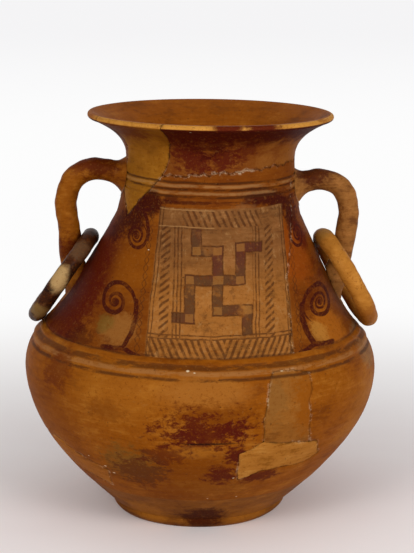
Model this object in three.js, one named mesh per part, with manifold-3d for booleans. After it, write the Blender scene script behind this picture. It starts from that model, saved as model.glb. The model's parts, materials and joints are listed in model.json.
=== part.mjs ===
// Handled jar of burnished clay with two loose clay rings hung in its handles.
// The jar is a broken one put together again: wall pieces, sherds and plaster fills
// stand beside each other with a fine joint between them.
// Millimetres, +Z up. The origin is the centre of the foot, on the surface it stands on.
// Angles on the wall go round from the front, -Y, towards +X.
import * as THREE from "three";
import { mergeVertices } from "three/addons/utils/BufferGeometryUtils.js";
import Module from "manifold-3d";

const wasm = await Module();
wasm.setup();

// Foot: a rounded ring of clay round a shallow hollow, a flaring collar and a dished floor
const FOOT_RADIUS = 71.3;
const FOOT_SIDE_RADIUS = 77;
const FOOT_SIDE_HEIGHT = 9;
const FOOT_ROUNDING = 2.4;
const FOOT_RIM_WIDTH = 13;
const FOOT_HOLLOW_DEPTH = 8;
const FLOOR_THICKNESS = 14;
const FLOOR_DISH = 3;
const COLLAR_RADIUS = 105.5;
const COLLAR_HEIGHT = 36;

// Belly
const BELLY_RADIUS = 154.4;
const BELLY_HEIGHT = 128.4;
const BELLY_FULLNESS = 1.87;
const BELLY_WALL = 7;

// Shoulder
const CARINATION_RADIUS = 137.7;
const CARINATION_HEIGHT = 166;
const SHOULDER_WALL = 6.5;
const SHOULDER_HOLLOW = 0.826;

// Neck and rim
const NECK_FOOT_RADIUS = 80.5;
const NECK_FOOT_HEIGHT = 262.5;
const NECK_SPREAD = 1.5;
const WAIST_RADIUS = 72.9;
const WAIST_HEIGHT = 308;
const NECK_WALL = 6;
const RIM_RADIUS = 106.2;
const RIM_HEIGHT = 349.9;
const RIM_FLARE = 2.7;
const LIP_THICKNESS = 5.4;

// One raised cordon between two grooves under the carination
const CORDON_DROP = 9.6;
const CORDON_WIDTH = 5;
const CORDON_RELIEF = 1.1;
const CORDON_GROOVE_WIDTH = 3.8;
const CORDON_GROOVE_DEPTH = 0.9;

// Fine grooves round the foot of the neck
const NECK_GROOVE_RISE = 24.8;
const NECK_GROOVE_STEP = 5.7;
const NECK_GROOVES = 3;
const NECK_GROOVE_WIDTH = 2.4;
const NECK_GROOVE_DEPTH = 0.9;

// How the soft jar sank while it dried: belly and neck lean right, the upper part tilts
const BELLY_LEAN = { shift: 1.2, from: 20, to: 80 };
const NECK_LEAN = { shift: 9.1, from: 160, to: 308 };
const NECK_LEAN_EASE = 1.5;
const TILT = { slope: 0.013, from: 40, to: 150 };

// Handles: bars bent from the neck out and down to the shoulder.
// The span runs from the neck's waist to the leg's axis, the rise from the neck's foot to the crown,
// and inward is how far the leg's straight stretch slants back towards the neck.
const HANDLE_LEFT = { side: -1, span: 51.7, rise: 37.9, inward: 1.5 };
const HANDLE_RIGHT = { side: 1, span: 47.4, rise: 28.5, inward: 2.4 };
const HANDLE_RADIUS = 9.6;
const HANDLE_BEND = 25;
const HANDLE_ROOT_DROP = 8;
const HANDLE_SINK = 14.6;
const HANDLE_ROOT_SWELL = 3.4;
const HANDLE_FOOT_SWELL = 1.6;
const HANDLE_SWELL_LENGTH = 13;
const LEG_STRAIGHT = 25;
const LEG_FOOT_RISE = 36;
const LEG_ENTRY = 30;

// Rings: outer diameter, thickness of the rolled clay, and how far the ring is turned from square
const RING_LEFT = { outer: 97.8, section: 15.6, yaw: 3 };
const RING_RIGHT = { outer: 97.4, section: 16.6, yaw: 7.5 };

// Joints between neighbours
const JOINT_GAP = 0.3;
const RING_CLEARANCE = 0.35;

// Breaks: the neck's runs all round, and every crack wavers a little
const NECK_BREAK_HEIGHT = 306;
const NECK_BREAK_RISE = 6;
const RAGGED_DEPTH = 1.3;
const RAGGED_WAVE = 26;
const RAGGED_STEP = 10;
const BLOCK_NEAR = 0.35;
const BLOCK_FAR = 2.6;

// Fineness of the faceted forms
const ROUND_STEPS = 44;
const BAR_SIDES = 14;
const BAR_STEPS = 24;
const RING_SIDES = 12;
const RING_STEPS = 36;
const LIP_STEPS = 4;
const RIM_ROWS = [0.35, 0.6, 0.8, 0.92, 1];
const FLOOR_ROWS = [1, 0.75, 0.45, 0];
const SHARPEST_MITRE = 0.45;
const LINE_STEP = 0.25;
const SLOPE_STEP = 1;
const TURN_STEP = 0.1;

const DEGREE = Math.PI / 180;

function smooth(value, from, to) {
  const t = Math.min(1, Math.max(0, (value - from) / (to - from)));
  return t * t * (3 - 2 * t);
}

function mix(from, to, t) {
  return from + (to - from) * t;
}

function share(value, from, to) {
  return (value - from) / (to - from);
}

// 1 in the middle of a band, falling softly to 0 at its edges
function swell(z, middle, width) {
  const t = Math.abs(z - middle) / (width / 2);
  return t >= 1 ? 0 : 0.5 * (1 + Math.cos(Math.PI * t));
}

function rimCurve(from, to, t) {
  return mix(from, to, Math.max(0, t) ** RIM_FLARE);
}

const CORDON_HEIGHT = CARINATION_HEIGHT - CORDON_DROP;
const LIP_BOTTOM = RIM_HEIGHT - LIP_THICKNESS;

// Raised and sunken bands round the wall
const RELIEFS = [{ middle: CORDON_HEIGHT, width: CORDON_WIDTH, relief: CORDON_RELIEF }];
for (const side of [-1, 1]) {
  const middle = CORDON_HEIGHT + (side * (CORDON_WIDTH + CORDON_GROOVE_WIDTH)) / 2;
  RELIEFS.push({ middle, width: CORDON_GROOVE_WIDTH, relief: -CORDON_GROOVE_DEPTH });
}
for (let i = 0; i < NECK_GROOVES; i += 1) {
  const middle = NECK_FOOT_HEIGHT + NECK_GROOVE_RISE + i * NECK_GROOVE_STEP;
  RELIEFS.push({ middle, width: NECK_GROOVE_WIDTH, relief: -NECK_GROOVE_DEPTH });
}
const RELIEF_HEIGHTS = [];
for (const { middle, width } of RELIEFS) RELIEF_HEIGHTS.push(middle - width / 2, middle, middle + width / 2);

// The smooth outer radius at a height
function outerRadius(z) {
  if (z < FOOT_SIDE_HEIGHT) {
    const t = 1 - z / FOOT_SIDE_HEIGHT;
    return mix(FOOT_SIDE_RADIUS, FOOT_RADIUS, Math.min(1, t) ** FOOT_ROUNDING);
  }
  if (z < COLLAR_HEIGHT) {
    return mix(FOOT_SIDE_RADIUS, COLLAR_RADIUS, share(z, FOOT_SIDE_HEIGHT, COLLAR_HEIGHT));
  }
  if (z < BELLY_HEIGHT) {
    return mix(BELLY_RADIUS, COLLAR_RADIUS, share(z, BELLY_HEIGHT, COLLAR_HEIGHT) ** BELLY_FULLNESS);
  }
  if (z < CARINATION_HEIGHT) {
    return mix(BELLY_RADIUS, CARINATION_RADIUS, share(z, BELLY_HEIGHT, CARINATION_HEIGHT) ** 2);
  }
  if (z < NECK_FOOT_HEIGHT) {
    const t = share(z, CARINATION_HEIGHT, NECK_FOOT_HEIGHT);
    return mix(CARINATION_RADIUS, NECK_FOOT_RADIUS, t ** SHOULDER_HOLLOW);
  }
  if (z < WAIST_HEIGHT) {
    return mix(WAIST_RADIUS, NECK_FOOT_RADIUS, share(z, WAIST_HEIGHT, NECK_FOOT_HEIGHT) ** NECK_SPREAD);
  }
  return rimCurve(WAIST_RADIUS, RIM_RADIUS - LIP_THICKNESS / 2, share(z, WAIST_HEIGHT, LIP_BOTTOM));
}

function wallAt(z) {
  if (z < CARINATION_HEIGHT) return BELLY_WALL;
  return z < NECK_FOOT_HEIGHT ? SHOULDER_WALL : NECK_WALL;
}

function innerRadius(z) {
  if (z > WAIST_HEIGHT) {
    return rimCurve(WAIST_RADIUS - NECK_WALL, RIM_RADIUS - LIP_THICKNESS, share(z, WAIST_HEIGHT, RIM_HEIGHT));
  }
  const slope = (outerRadius(z + SLOPE_STEP) - outerRadius(z - SLOPE_STEP)) / (2 * SLOPE_STEP);
  return outerRadius(z) - wallAt(z) * Math.hypot(1, slope);
}

// The outer radius with its cordon and grooves
function dressedRadius(z) {
  let radius = outerRadius(z);
  for (const { middle, width, relief } of RELIEFS) radius += relief * swell(z, middle, width);
  return radius;
}

function lean(z) {
  const belly = BELLY_LEAN.shift * smooth(z, BELLY_LEAN.from, BELLY_LEAN.to);
  const left = Math.min(1, Math.max(0, share(z, NECK_LEAN.to, NECK_LEAN.from)));
  return belly + NECK_LEAN.shift * (1 - left ** NECK_LEAN_EASE);
}

function tilt(z) {
  return TILT.slope * smooth(z, TILT.from, TILT.to);
}

// Moves a form of the true jar to where the sunken jar has it
function settle(geometry) {
  const place = geometry.getAttribute("position");
  for (let i = 0; i < place.count; i += 1) {
    const x = place.getX(i);
    const z = place.getZ(i);
    place.setXYZ(i, x + lean(z), place.getY(i), z - tilt(z) * x);
  }
  return geometry;
}

function solid(geometry) {
  const bare = geometry.clone();
  bare.deleteAttribute("normal");
  bare.deleteAttribute("uv");
  const merged = mergeVertices(bare, 1e-4);
  const mesh = new wasm.Mesh({
    numProp: 3,
    vertProperties: Float32Array.from(merged.getAttribute("position").array),
    triVerts: Uint32Array.from(merged.index.array),
  });
  return new wasm.Manifold(mesh);
}

function geometryOf(body) {
  const mesh = body.getMesh();
  const geometry = new THREE.BufferGeometry();
  geometry.setAttribute("position", new THREE.BufferAttribute(Float32Array.from(mesh.vertProperties), 3));
  geometry.setIndex(new THREE.BufferAttribute(Uint32Array.from(mesh.triVerts), 1));
  return geometry;
}

function facets(vertices, index) {
  const geometry = new THREE.BufferGeometry();
  geometry.setAttribute("position", new THREE.Float32BufferAttribute(vertices, 3));
  geometry.setIndex(index);
  return geometry;
}

// A turned form of the sunken jar, from a closed outline of [radius, height] points
function turned(outline) {
  const points = outline.map(([radius, height]) => new THREE.Vector2(Math.max(0, radius), height));
  const geometry = new THREE.LatheGeometry(points, ROUND_STEPS);
  geometry.rotateX(Math.PI / 2);
  return solid(settle(geometry));
}

// Evenly spaced heights, with those of the reliefs between them
function heightsBetween(from, to, count) {
  const heights = [];
  for (let i = 0; i <= count; i += 1) heights.push(mix(from, to, i / count));
  for (const z of RELIEF_HEIGHTS) if (z > from && z < to) heights.push(z);
  heights.sort((a, b) => a - b);
  return heights.filter((z, i) => i === 0 || z - heights[i - 1] > LINE_STEP);
}

function footSolid() {
  const top = COLLAR_HEIGHT - JOINT_GAP / 2;
  const inner = innerRadius(COLLAR_HEIGHT);
  const floor = FOOT_HOLLOW_DEPTH + FLOOR_THICKNESS;
  const seat = FOOT_RADIUS - FOOT_RIM_WIDTH;
  const outline = [
    [0, FOOT_HOLLOW_DEPTH],
    [seat - FOOT_HOLLOW_DEPTH, FOOT_HOLLOW_DEPTH],
    [seat, 0],
  ];
  for (const z of heightsBetween(0, FOOT_SIDE_HEIGHT, 3)) outline.push([outerRadius(z), z]);
  outline.push([outerRadius(top), top]);
  for (const t of FLOOR_ROWS) outline.push([inner * t, mix(floor, top, t ** FLOOR_DISH)]);
  return turned(outline);
}

function bellySolid() {
  const from = COLLAR_HEIGHT + JOINT_GAP / 2;
  const to = CARINATION_HEIGHT - JOINT_GAP / 2;
  const outside = heightsBetween(from, to, 9).map((z) => [dressedRadius(z), z]);
  const inside = heightsBetween(from, CORDON_HEIGHT, 6).map((z) => [innerRadius(z), z]);
  inside.push([innerRadius(to), to]);
  const outline = [...outside, ...inside.reverse()];
  outline.push(outline[0]);
  return turned(outline);
}

// Shoulder, neck and rim, turned in one
function upperSolid() {
  const from = CARINATION_HEIGHT + JOINT_GAP / 2;
  const neckFoot = NECK_FOOT_HEIGHT;
  const shoulder = heightsBetween(from, neckFoot, 5);
  const rimRows = (top) => RIM_ROWS.map((t) => mix(WAIST_HEIGHT, top, t));
  const neck = heightsBetween(neckFoot, WAIST_HEIGHT, 3).slice(1);
  const outside = [...shoulder, ...neck, ...rimRows(LIP_BOTTOM)];
  const outline = outside.map((z) => [dressedRadius(z), z]);
  for (let i = 1; i <= LIP_STEPS; i += 1) {
    const turn = Math.PI * mix(-0.5, 0.5, i / LIP_STEPS);
    const middle = LIP_THICKNESS / 2;
    outline.push([RIM_RADIUS - middle * (1 - Math.cos(turn)), RIM_HEIGHT - middle * (1 - Math.sin(turn))]);
  }
  const inside = [...shoulder, (neckFoot + WAIST_HEIGHT) / 2, WAIST_HEIGHT, ...rimRows(RIM_HEIGHT)];
  outline.push(...inside.reverse().map((z) => [innerRadius(z), z]));
  outline.push(outline[0]);
  return turned(outline);
}

// The jar filled up and grown by the joint gap, which trims what is luted onto its wall
function filledJar() {
  const side = heightsBetween(COLLAR_HEIGHT, LIP_BOTTOM, 44).map((z) => [outerRadius(z) + JOINT_GAP, z]);
  return turned([[0, COLLAR_HEIGHT], ...side, [0, LIP_BOTTOM]]);
}

// How a break wavers to either side of its line, after a run of so many millimetres
function waver(run) {
  const turn = (2 * Math.PI * run) / RAGGED_WAVE;
  return (RAGGED_DEPTH / 2) * (Math.sin(turn) + Math.sin(turn * Math.E));
}

// A crack's straight edges, each cut into short steps that waver
function ragged(corners) {
  const points = [];
  let run = 0;
  corners.forEach((corner, i) => {
    const next = corners[(i + 1) % corners.length];
    const along = next.clone().sub(corner);
    const length = along.length();
    const aside = new THREE.Vector2(along.y, -along.x).divideScalar(length);
    const steps = Math.max(1, Math.round(length / RAGGED_STEP));
    for (let k = 0; k < steps; k += 1) {
      const t = k / steps;
      const depth = waver(run + t * length) * Math.sin(Math.PI * t);
      points.push(corner.clone().addScaledVector(along, t).addScaledVector(aside, depth));
    }
    run += length;
  });
  return points;
}

// Moves each edge of a flat outline outwards by a distance; the outline runs anticlockwise
function grown(outline, distance) {
  return outline.map((point, i) => {
    const before = outline[(i + outline.length - 1) % outline.length];
    const after = outline[(i + 1) % outline.length];
    const a = point.clone().sub(before).normalize();
    const b = after.clone().sub(point).normalize();
    const middle = new THREE.Vector2(a.y + b.y, -a.x - b.x).normalize();
    const fall = Math.max(SHARPEST_MITRE, middle.dot(new THREE.Vector2(b.y, -b.x)));
    return point.clone().addScaledVector(middle, distance / fall);
  });
}

// A block that cuts the wall along a crack, from well inside the wall to well outside it.
// The crack runs over [angle, height] points.
function wallBlock(crack, radius, grow) {
  const corners = crack.map(([angle, z]) => new THREE.Vector2(angle * DEGREE * radius, z));
  if (THREE.ShapeUtils.isClockWise(corners)) corners.reverse();
  const outline = grown(ragged(corners), grow);
  const count = outline.length;
  const vertices = [];
  for (const reach of [radius * BLOCK_NEAR, radius * BLOCK_FAR]) {
    for (const { x, y } of outline) {
      vertices.push(reach * Math.sin(x / radius), -reach * Math.cos(x / radius), y);
    }
  }
  const index = [];
  for (const [a, b, c] of THREE.ShapeUtils.triangulateShape(outline, [])) {
    index.push(a, c, b, a + count, b + count, c + count);
  }
  for (let i = 0; i < count; i += 1) {
    const j = (i + 1) % count;
    index.push(i, j, j + count, i, j + count, i + count);
  }
  return solid(settle(facets(vertices, index)));
}

// Takes a sherd or a fill out of a wall, and leaves the joint gap round it
function split(wall, crack, radius) {
  const piece = wall.intersect(wallBlock(crack, radius, -JOINT_GAP / 2));
  const rest = wall.subtract(wallBlock(crack, radius, JOINT_GAP / 2));
  return [piece, rest];
}

// A ring of clay space above the neck's break, from well inside the wall to well outside it
function aboveBreak(grow) {
  const near = WAIST_RADIUS * BLOCK_NEAR;
  const far = WAIST_RADIUS * BLOCK_FAR;
  const top = RIM_HEIGHT + RIM_RADIUS;
  const vertices = [];
  const index = [];
  for (let i = 0; i < ROUND_STEPS; i += 1) {
    const angle = (2 * Math.PI * i) / ROUND_STEPS;
    const low = NECK_BREAK_HEIGHT + NECK_BREAK_RISE * Math.sin(angle) + waver(angle * WAIST_RADIUS) + grow;
    for (const [reach, z] of [[near, low], [far, low], [far, top], [near, top]]) {
      vertices.push(reach * Math.sin(angle), -reach * Math.cos(angle), z);
    }
    for (let k = 0; k < 4; k += 1) {
      const a = i * 4 + k;
      const b = i * 4 + ((k + 1) % 4);
      const next = (((i + 1) % ROUND_STEPS) - i) * 4;
      index.push(a, b + next, b, a, a + next, b + next);
    }
  }
  return solid(settle(facets(vertices, index)));
}

// Crack corners as [angle, share of the wall's height]
const BELLY_FILL_CRACK = [
  [14.5, 0.182], [23.9, 0.243], [40.8, 0.245], [47.2, 0.296], [42.4, 0.411], [20.7, 0.474], [12.9, 0.391],
];
const BELLY_RIGHT_CRACK = [
  [20.7, 0.44], [39.8, 0.38], [36.8, 0.543], [35.7, 0.717], [37.6, 0.884], [31, 0.92], [24.3, 0.921],
  [22.1, 0.846], [21, 0.757], [19.8, 0.63],
];
const BELLY_LEFT_CRACK = [
  [-75, 0.13], [-58, 0.11], [-40.3, 0.061], [-36.3, 0.199], [-44, 0.246], [-51, 0.276], [-59.4, 0.338],
  [-76, 0.31],
];
const SHOULDER_CRACK = [
  [33.5, -0.1], [33.8, 0.014], [37.8, 0.218], [41.5, 0.391], [52.8, 0.582], [62.9, 0.728], [65.3, 0.865],
  [74.5, 0.986], [78, 1.1], [150, 1.1], [138, -0.1],
];
const NECK_FILL_CRACK = [
  [-60.2, 0.039], [-51.2, 0.213], [-42.4, 0.325], [-34.8, 0.449], [-28.2, 0.629], [-22.9, 0.872],
  [-21, 1.2], [-62, 1.2], [-66.4, 0.769], [-73.3, 0.656], [-85, 0.334], [-71, 0.17],
];

function placed(crack, from, to) {
  return crack.map(([angle, part]) => [angle, mix(from, to, part)]);
}

// A bar bent along a curve in the handles' plane, with the radius that it has after each run
function bentBar(curve, radiusAt) {
  const frames = curve.computeFrenetFrames(BAR_STEPS, false);
  const length = curve.getLength();
  const vertices = [];
  const index = [];
  for (let i = 0; i <= BAR_STEPS; i += 1) {
    const centre = curve.getPointAt(i / BAR_STEPS);
    const radius = radiusAt((i / BAR_STEPS) * length, length);
    for (let k = 0; k < BAR_SIDES; k += 1) {
      const angle = (2 * Math.PI * k) / BAR_SIDES;
      const point = centre
        .clone()
        .addScaledVector(frames.normals[i], radius * Math.cos(angle))
        .addScaledVector(frames.binormals[i], radius * Math.sin(angle));
      vertices.push(point.x, point.y, point.z);
      if (i < BAR_STEPS) {
        const a = i * BAR_SIDES + k;
        const b = i * BAR_SIDES + ((k + 1) % BAR_SIDES);
        index.push(a, b, b + BAR_SIDES, a, b + BAR_SIDES, a + BAR_SIDES);
      }
    }
  }
  const last = BAR_STEPS * BAR_SIDES;
  for (let k = 1; k < BAR_SIDES - 1; k += 1) index.push(0, k + 1, k, last, last + k, last + k + 1);
  return solid(facets(vertices, index));
}

// A point of the handles' plane on the outside of the sunken jar
function wallPoint(side, z, radius = outerRadius(z)) {
  return new THREE.Vector3(side * radius + lean(z), 0, z - tilt(z) * side * radius);
}

// The axis of a handle: out of the neck's wall, round the crown, down the leg and into the shoulder
function handleAxis({ side, span, rise, inward }) {
  const top = NECK_FOOT_HEIGHT + rise;
  const neckAxis = lean(top);
  const crown = WAIST_RADIUS + span - HANDLE_BEND;
  const root = neckAxis + side * (WAIST_RADIUS - HANDLE_SINK);
  const points = [new THREE.Vector3(root, 0, top - HANDLE_ROOT_DROP)];
  for (const turn of [0, 45, 90]) {
    const out = crown + HANDLE_BEND * Math.sin(turn * DEGREE);
    const down = HANDLE_BEND * (1 - Math.cos(turn * DEGREE));
    points.push(new THREE.Vector3(neckAxis + side * out, 0, top - down));
  }
  const leg = points[points.length - 1].clone();
  leg.x -= side * inward;
  leg.z -= LEG_STRAIGHT;
  const foot = wallPoint(side, CARINATION_HEIGHT + LEG_FOOT_RISE);
  const end = foot.clone();
  end.x -= side * HANDLE_SINK * Math.sin(LEG_ENTRY * DEGREE);
  end.z -= HANDLE_SINK * Math.cos(LEG_ENTRY * DEGREE);
  return new THREE.CatmullRomCurve3([...points, leg, foot, end]);
}

const jarSpace = filledJar();

// A rolled bar, thickened where the potter pressed it onto the wall
function handleSolid(handle) {
  const swollen = HANDLE_SINK + HANDLE_SWELL_LENGTH;
  const bar = bentBar(handleAxis(handle), (run, length) => {
    const root = HANDLE_ROOT_SWELL * (1 - smooth(run, HANDLE_SINK, swollen));
    const foot = HANDLE_FOOT_SWELL * (1 - smooth(length - run, HANDLE_SINK, swollen));
    return HANDLE_RADIUS + root + foot;
  });
  return bar.subtract(jarSpace);
}

const WALL_PROFILE = [];
for (let z = COLLAR_HEIGHT; z < NECK_BREAK_HEIGHT; z += LINE_STEP) WALL_PROFILE.push([dressedRadius(z), z]);

// How far a point outside the sunken jar lies off its wall
function offWall({ x, y, z }) {
  const trueX = x - lean(z);
  const trueZ = z + tilt(z) * trueX;
  const radius = Math.hypot(trueX, y);
  return Math.min(...WALL_PROFILE.map(([r, h]) => Math.hypot(radius - r, trueZ - h)));
}

// The seat of a ring: its upper side lies in the crotch between the leg and the wall, and the ring
// leans on the wall. Lift is how much further off the wall it lies at its upper and lower side.
function ringSeat(handle, ring, lift) {
  const { side } = handle;
  const axis = handleAxis(handle).getPoints(BAR_STEPS * 8);
  const clear = ring.section / 2 + RING_CLEARANCE;
  const offLeg = (HANDLE_RADIUS + clear) / Math.cos(ring.yaw * DEGREE);
  const offLegEnough = (point) => axis.every((p) => p.distanceTo(point) >= offLeg);
  const seat = new THREE.Vector3();
  for (let z = CARINATION_HEIGHT + LEG_FOOT_RISE; z < NECK_FOOT_HEIGHT; z += LINE_STEP) {
    const wall = wallPoint(side, z);
    const up = wallPoint(side, z + SLOPE_STEP).sub(wall).normalize();
    seat.set(wall.x + side * up.z * (clear + lift), 0, wall.z - side * up.x * (clear + lift));
    if (offLegEnough(seat)) break;
  }
  const hangs = new THREE.Vector3(0, 0, -(ring.outer - ring.section));
  const square = new THREE.Vector3(0, 1, 0);
  let slant = 90;
  while (slant > 0) {
    const low = hangs.clone().applyAxisAngle(square, -side * (slant - TURN_STEP) * DEGREE).add(seat);
    if (offWall(low) < clear + lift) break;
    slant -= TURN_STEP;
  }
  return { seat, slant };
}

// Moves a ring that hangs straight down from the origin to its seat
function hang(geometry, handle, ring, { seat, slant }) {
  geometry.rotateZ(handle.side * ring.yaw * DEGREE);
  geometry.rotateY(-handle.side * slant * DEGREE);
  geometry.translate(seat.x, seat.y, seat.z);
  return geometry;
}

// The middle line of a ring's rolled clay
function ringLine(ring) {
  const radius = (ring.outer - ring.section) / 2;
  const points = [];
  for (let turn = 0; turn < 360; turn += 5) {
    const along = radius * Math.sin(turn * DEGREE);
    points.push(new THREE.Vector3(0, along, radius * (Math.cos(turn * DEGREE) - 1)));
  }
  return new THREE.BufferGeometry().setFromPoints(points);
}

function ringSolid(name, handle, ring) {
  const clear = ring.section / 2 + RING_CLEARANCE;
  let lift = 0;
  let place = ringSeat(handle, ring, lift);
  for (let pass = 0; pass < 4; pass += 1) {
    const line = hang(ringLine(ring), handle, ring, place).getAttribute("position");
    let least = Infinity;
    for (let i = 0; i < line.count; i += 1) {
      least = Math.min(least, offWall(new THREE.Vector3().fromBufferAttribute(line, i)));
    }
    lift += clear - least;
    place = ringSeat(handle, ring, lift);
  }
  const radius = (ring.outer - ring.section) / 2;
  const geometry = new THREE.TorusGeometry(radius, ring.section / 2, RING_SIDES, RING_STEPS);
  geometry.rotateY(Math.PI / 2);
  geometry.translate(0, 0, -radius);
  const hinge = new THREE.Vector3(0, -handle.side, 0);
  hinge.applyAxisAngle(new THREE.Vector3(0, 0, 1), handle.side * ring.yaw * DEGREE);
  hinge.applyAxisAngle(new THREE.Vector3(0, 1, 0), -handle.side * place.slant * DEGREE);
  const at = place.seat.toArray().map((v) => v.toFixed(2));
  const along = hinge.toArray().map((v) => v.toFixed(4));
  console.log(`${name}: hinge at ${at} along ${along}, slant ${place.slant.toFixed(1)} degrees`);
  return solid(hang(geometry, handle, ring, place));
}

const jar = new THREE.Group();

function add(name, body, { color, roughness }) {
  const material = new THREE.MeshStandardMaterial({ color, roughness, metalness: 0 });
  const mesh = new THREE.Mesh(geometryOf(body), material);
  mesh.name = name;
  jar.add(mesh);
}

const CLAY = { color: 0xb07a45, roughness: 0.5 };
const BROWN_CLAY = { color: 0x8f5f3a, roughness: 0.5 };
const YELLOW_CLAY = { color: 0xc08a4a, roughness: 0.5 };
const DARK_CLAY = { color: 0x4a3626, roughness: 0.45 };
const OCHRE_PLASTER = { color: 0xc99a5a, roughness: 0.8 };

const bellyCrack = (crack) => placed(crack, COLLAR_HEIGHT, CARINATION_HEIGHT);
let belly = bellySolid();
let bellyFill;
let bellyRight;
let bellyLeft;
[bellyFill, belly] = split(belly, bellyCrack(BELLY_FILL_CRACK), BELLY_RADIUS);
[bellyRight, belly] = split(belly, bellyCrack(BELLY_RIGHT_CRACK), BELLY_RADIUS);
[bellyLeft, belly] = split(belly, bellyCrack(BELLY_LEFT_CRACK), BELLY_RADIUS);
add("foot_ring", footSolid(), BROWN_CLAY);
add("belly_wall", belly, CLAY);
add("belly_sherd_right", bellyRight, CLAY);
add("belly_sherd_left", bellyLeft, BROWN_CLAY);
add("belly_fill", bellyFill, OCHRE_PLASTER);

const neckCrack = placed(NECK_FILL_CRACK, NECK_FOOT_HEIGHT, RIM_HEIGHT);
const shoulderCrack = placed(SHOULDER_CRACK, CARINATION_HEIGHT, NECK_BREAK_HEIGHT);
const [neckFill, upper] = split(upperSolid(), neckCrack, WAIST_RADIUS);
const neck = upper.intersect(aboveBreak(JOINT_GAP / 2));
const belowBreak = upper.subtract(aboveBreak(-JOINT_GAP / 2));
const [shoulderRight, shoulder] = split(belowBreak, shoulderCrack, CARINATION_RADIUS);
add("shoulder_wall", shoulder, CLAY);
add("shoulder_sherd_right", shoulderRight, CLAY);
add("neck_wall", neck, CLAY);
add("neck_fill", neckFill, OCHRE_PLASTER);

add("handle_left", handleSolid(HANDLE_LEFT), BROWN_CLAY);
add("handle_right", handleSolid(HANDLE_RIGHT), YELLOW_CLAY);
add("ring_left", ringSolid("ring_left", HANDLE_LEFT, RING_LEFT), DARK_CLAY);
add("ring_right", ringSolid("ring_right", HANDLE_RIGHT, RING_RIGHT), YELLOW_CLAY);

export default jar;
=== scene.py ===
# %% [markdown]
# # A burnished clay jar with two loose rings
# The real object is a large hand-built jar. It was painted and burnished, fired in a bonfire, broken
# in the ground and put together again from sherds and ochre plaster. Two clay rings hang loose in
# its handles. This lesson dresses a measured model of it. Each piece is rebuilt as a fine mesh from
# the same lengths as the measured one, and its finish is written as shader nodes.

import bpy
import json
import math
import numpy as np
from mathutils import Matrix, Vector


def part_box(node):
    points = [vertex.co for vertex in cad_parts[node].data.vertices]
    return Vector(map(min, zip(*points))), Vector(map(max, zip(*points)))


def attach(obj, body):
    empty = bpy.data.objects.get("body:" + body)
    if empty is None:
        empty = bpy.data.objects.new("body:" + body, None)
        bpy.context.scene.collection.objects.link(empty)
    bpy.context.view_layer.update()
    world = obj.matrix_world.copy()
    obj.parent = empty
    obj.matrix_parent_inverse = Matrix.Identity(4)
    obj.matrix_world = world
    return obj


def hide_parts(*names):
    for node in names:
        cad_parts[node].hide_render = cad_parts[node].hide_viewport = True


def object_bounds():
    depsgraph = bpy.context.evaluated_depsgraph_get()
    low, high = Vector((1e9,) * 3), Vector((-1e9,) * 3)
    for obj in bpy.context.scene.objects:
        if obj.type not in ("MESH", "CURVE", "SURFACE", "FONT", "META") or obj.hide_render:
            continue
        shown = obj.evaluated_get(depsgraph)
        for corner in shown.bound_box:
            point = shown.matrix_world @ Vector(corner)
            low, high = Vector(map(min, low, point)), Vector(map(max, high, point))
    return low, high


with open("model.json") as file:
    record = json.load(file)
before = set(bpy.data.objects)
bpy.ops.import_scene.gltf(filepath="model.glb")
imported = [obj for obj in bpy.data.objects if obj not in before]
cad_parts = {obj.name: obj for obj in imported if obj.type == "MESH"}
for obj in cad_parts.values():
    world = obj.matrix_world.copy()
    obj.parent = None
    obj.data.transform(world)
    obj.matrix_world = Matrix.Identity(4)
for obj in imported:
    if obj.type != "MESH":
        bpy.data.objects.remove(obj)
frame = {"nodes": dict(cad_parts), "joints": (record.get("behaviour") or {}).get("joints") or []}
nodes = frame["nodes"]
cad_low, cad_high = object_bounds()
print("measured box", [round(v, 4) for v in (*cad_low, *cad_high)])

# %% [markdown]
# ## The camera
# The photograph looks slightly down on the jar from about a metre and a half away. Its distance,
# height and pitch came from the ellipses of the rim, the shoulder edge and the foot: an ellipse that
# is flatter than its neighbour is nearer to the height of the eye.

# %% Place the camera
PHOTO_WIDTH = 414
PHOTO_HEIGHT = 553
FOCAL_PIXELS = 1703
CAMERA_PLACE = (0.0074, -1.459, 0.515)
CAMERA_PITCH = 11.99

camera_data = bpy.data.cameras.new("photo_camera")
camera_data.sensor_width = 36
camera_data.lens = camera_data.sensor_width * FOCAL_PIXELS / max(PHOTO_WIDTH, PHOTO_HEIGHT)
camera = bpy.data.objects.new("photo_camera", camera_data)
camera.location = CAMERA_PLACE
camera.rotation_euler = (math.radians(90 - CAMERA_PITCH), 0, 0)
scene = bpy.context.scene
scene.collection.objects.link(camera)
scene.camera = camera
print("lens", round(camera_data.lens, 1), "mm")

# %% [markdown]
# ## The turned profile
# A potter would describe the jar by one curve: how far the wall is from the middle at each height.
# The curve is written here in millimetres as a few mathematical stretches, so each one bends as
# smoothly as coiled and scraped clay does. A table of points would show its corners.

# %% Lengths of the jar, in millimetres
MM = 0.001
FOOT_RADIUS = 71.3
FOOT_SIDE_RADIUS = 77
FOOT_SIDE_HEIGHT = 9
FOOT_ROUNDING = 2.4
FOOT_RIM_WIDTH = 13
FOOT_HOLLOW_DEPTH = 8
FLOOR_THICKNESS = 14
COLLAR_RADIUS = 105.5
COLLAR_HEIGHT = 36
BELLY_RADIUS = 154.4
BELLY_HEIGHT = 128.4
BELLY_FULLNESS = 1.87
BELLY_WALL = 7
CARINATION_RADIUS = 137.7
CARINATION_HEIGHT = 166
SHOULDER_WALL = 6.5
SHOULDER_HOLLOW = 0.826
NECK_FOOT_RADIUS = 80.5
NECK_FOOT_HEIGHT = 262.5
NECK_SPREAD = 1.5
WAIST_RADIUS = 72.9
WAIST_HEIGHT = 308
NECK_WALL = 6
RIM_RADIUS = 106.2
RIM_HEIGHT = 349.9
RIM_FLARE = 2.7
LIP_THICKNESS = 5.4
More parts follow.
